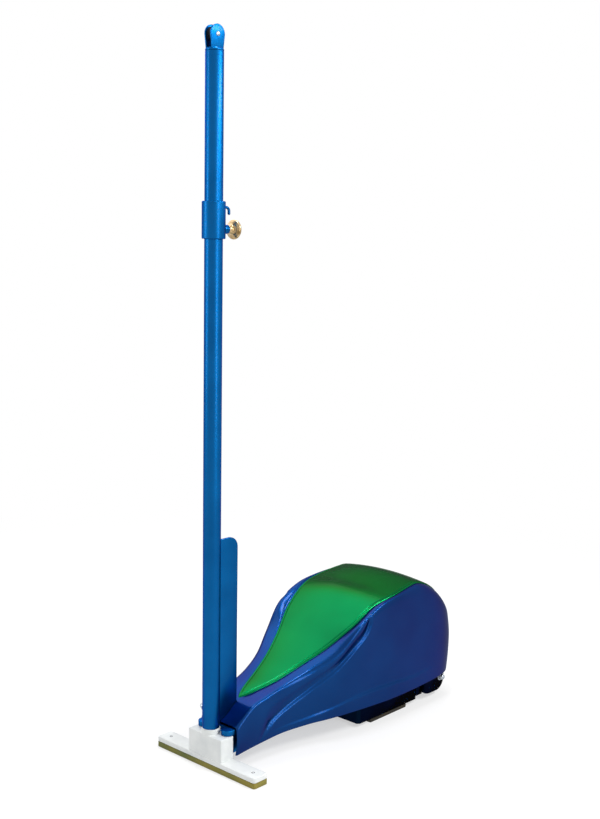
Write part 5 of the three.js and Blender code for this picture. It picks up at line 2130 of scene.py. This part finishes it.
@dataclass
class Studio:
    """The pale floor, the white surround and the soft lamps, in metres."""

    floor_half: float = 25.0
    floor_drop: float = 0.0003
    floor_share: float = 0.5
    floor_glow: float = 0.55
    bounce_share: float = 0.8
    shade_reach: Point = (0.7, 2.4)
    ambient: float = 0.35
    lamps: tuple[Softbox, ...] = (
        Softbox("left_softbox", (-1.7, -2.2, 1.5), (0.0, 0.0, 0.7), (0.6, 2.2), 23.0),
        Softbox("right_softbox", (2.7, 0.1, 1.3), (0.0, 0.2, 0.6), (0.5, 2.2), 25.0),
        Softbox("ridge_strip", (1.6, 1.1, 2.1), (0.1, 0.3, 0.2), (1.5, 0.22), 30.0),
        Softbox("overhead_softbox", (0.1, 0.15, 2.7), (0.1, 0.15, 0.0), (0.4, 0.6), 15.0),
        Softbox("top_softbox", (-1.5, 0.8, 2.4), (0.0, 0.3, 0.2), (2.6, 2.6), 38.0),
    )

    def build(self) -> None:
        """Sets up floor, surround and lamps, and the plain view settings."""
        bpy.context.scene.view_settings.view_transform = "Standard"
        self.make_floor()
        self.make_surround()
        for lamp in self.lamps:
            lamp.hang()

    def make_floor(self) -> None:
        """Builds the floor, white away from the object and shaded near it."""
        sheet = bmesh.new()
        bmesh.ops.create_grid(sheet, x_segments=1, y_segments=1, size=self.floor_half)
        bmesh.ops.translate(sheet, vec=(0.0, 0.0, -self.floor_drop), verts=sheet.verts[:])
        data = bpy.data.meshes.new("floor")
        sheet.to_mesh(data)
        sheet.free()
        data.materials.append(self.floor_material())
        floor = add_object("floor", data)

    def floor_material(self) -> bpy.types.Material:
        """The floor's material, which glows where it is seen and is matt where it is not.

        Returns:
            The finished material.
        """
        graph = NodeGraph(bpy.data.materials.new("studio_floor"))
        fade = graph.add("ShaderNodeMapRange", interpolation_type="SMOOTHSTEP")
        for name, limit in zip(("From Min", "From Max"), self.shade_reach):
            fade.inputs[name].default_value = limit
        graph.join(graph.length(graph.places), fade.inputs["Value"])
        near = graph.add("ShaderNodeAddShader")
        graph.join(graph.diffuse(self.floor_share), near.inputs[0])
        graph.join(graph.glow("ShaderNodeEmission", self.floor_glow), near.inputs[1])
        far = graph.glow("ShaderNodeEmission", 1.0)
        seen = graph.mixed(fade.outputs["Result"], near.outputs[0], far)
        graph.end(graph.mixed(graph.seen_directly(), graph.diffuse(self.bounce_share), seen))
        return graph.owner

    def make_surround(self) -> None:
        """Builds the white surround, which lights the object at a plain level."""
        graph = NodeGraph(bpy.data.worlds.new("white_surround"))
        dim, full = (graph.glow("ShaderNodeBackground", level) for level in (self.ambient, 1.0))
        graph.end(graph.mixed(graph.seen_directly(), dim, full), "ShaderNodeOutputWorld")
        bpy.context.scene.world = graph.owner


def main() -> None:
    """Builds the studio and every sub-assembly in order."""
    logging.basicConfig(level=logging.INFO, format="%(message)s")
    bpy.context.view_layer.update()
    Viewpoint().place_camera()
    Studio().build()
    WARDROBE.dress_nodes()
    parts: Sequence[Foot | Mast | Clevis | CordTightener | Chassis | Wheel | Cover] = (
        Foot(), Mast(), Clevis(), CordTightener(), Chassis(), Wheel(Side.LEFT), Wheel(Side.RIGHT),
        Cover())
    for part in parts:
        part.build()
        LOG.info("%s built", type(part).__name__)


if __name__ == "__main__":
    main()
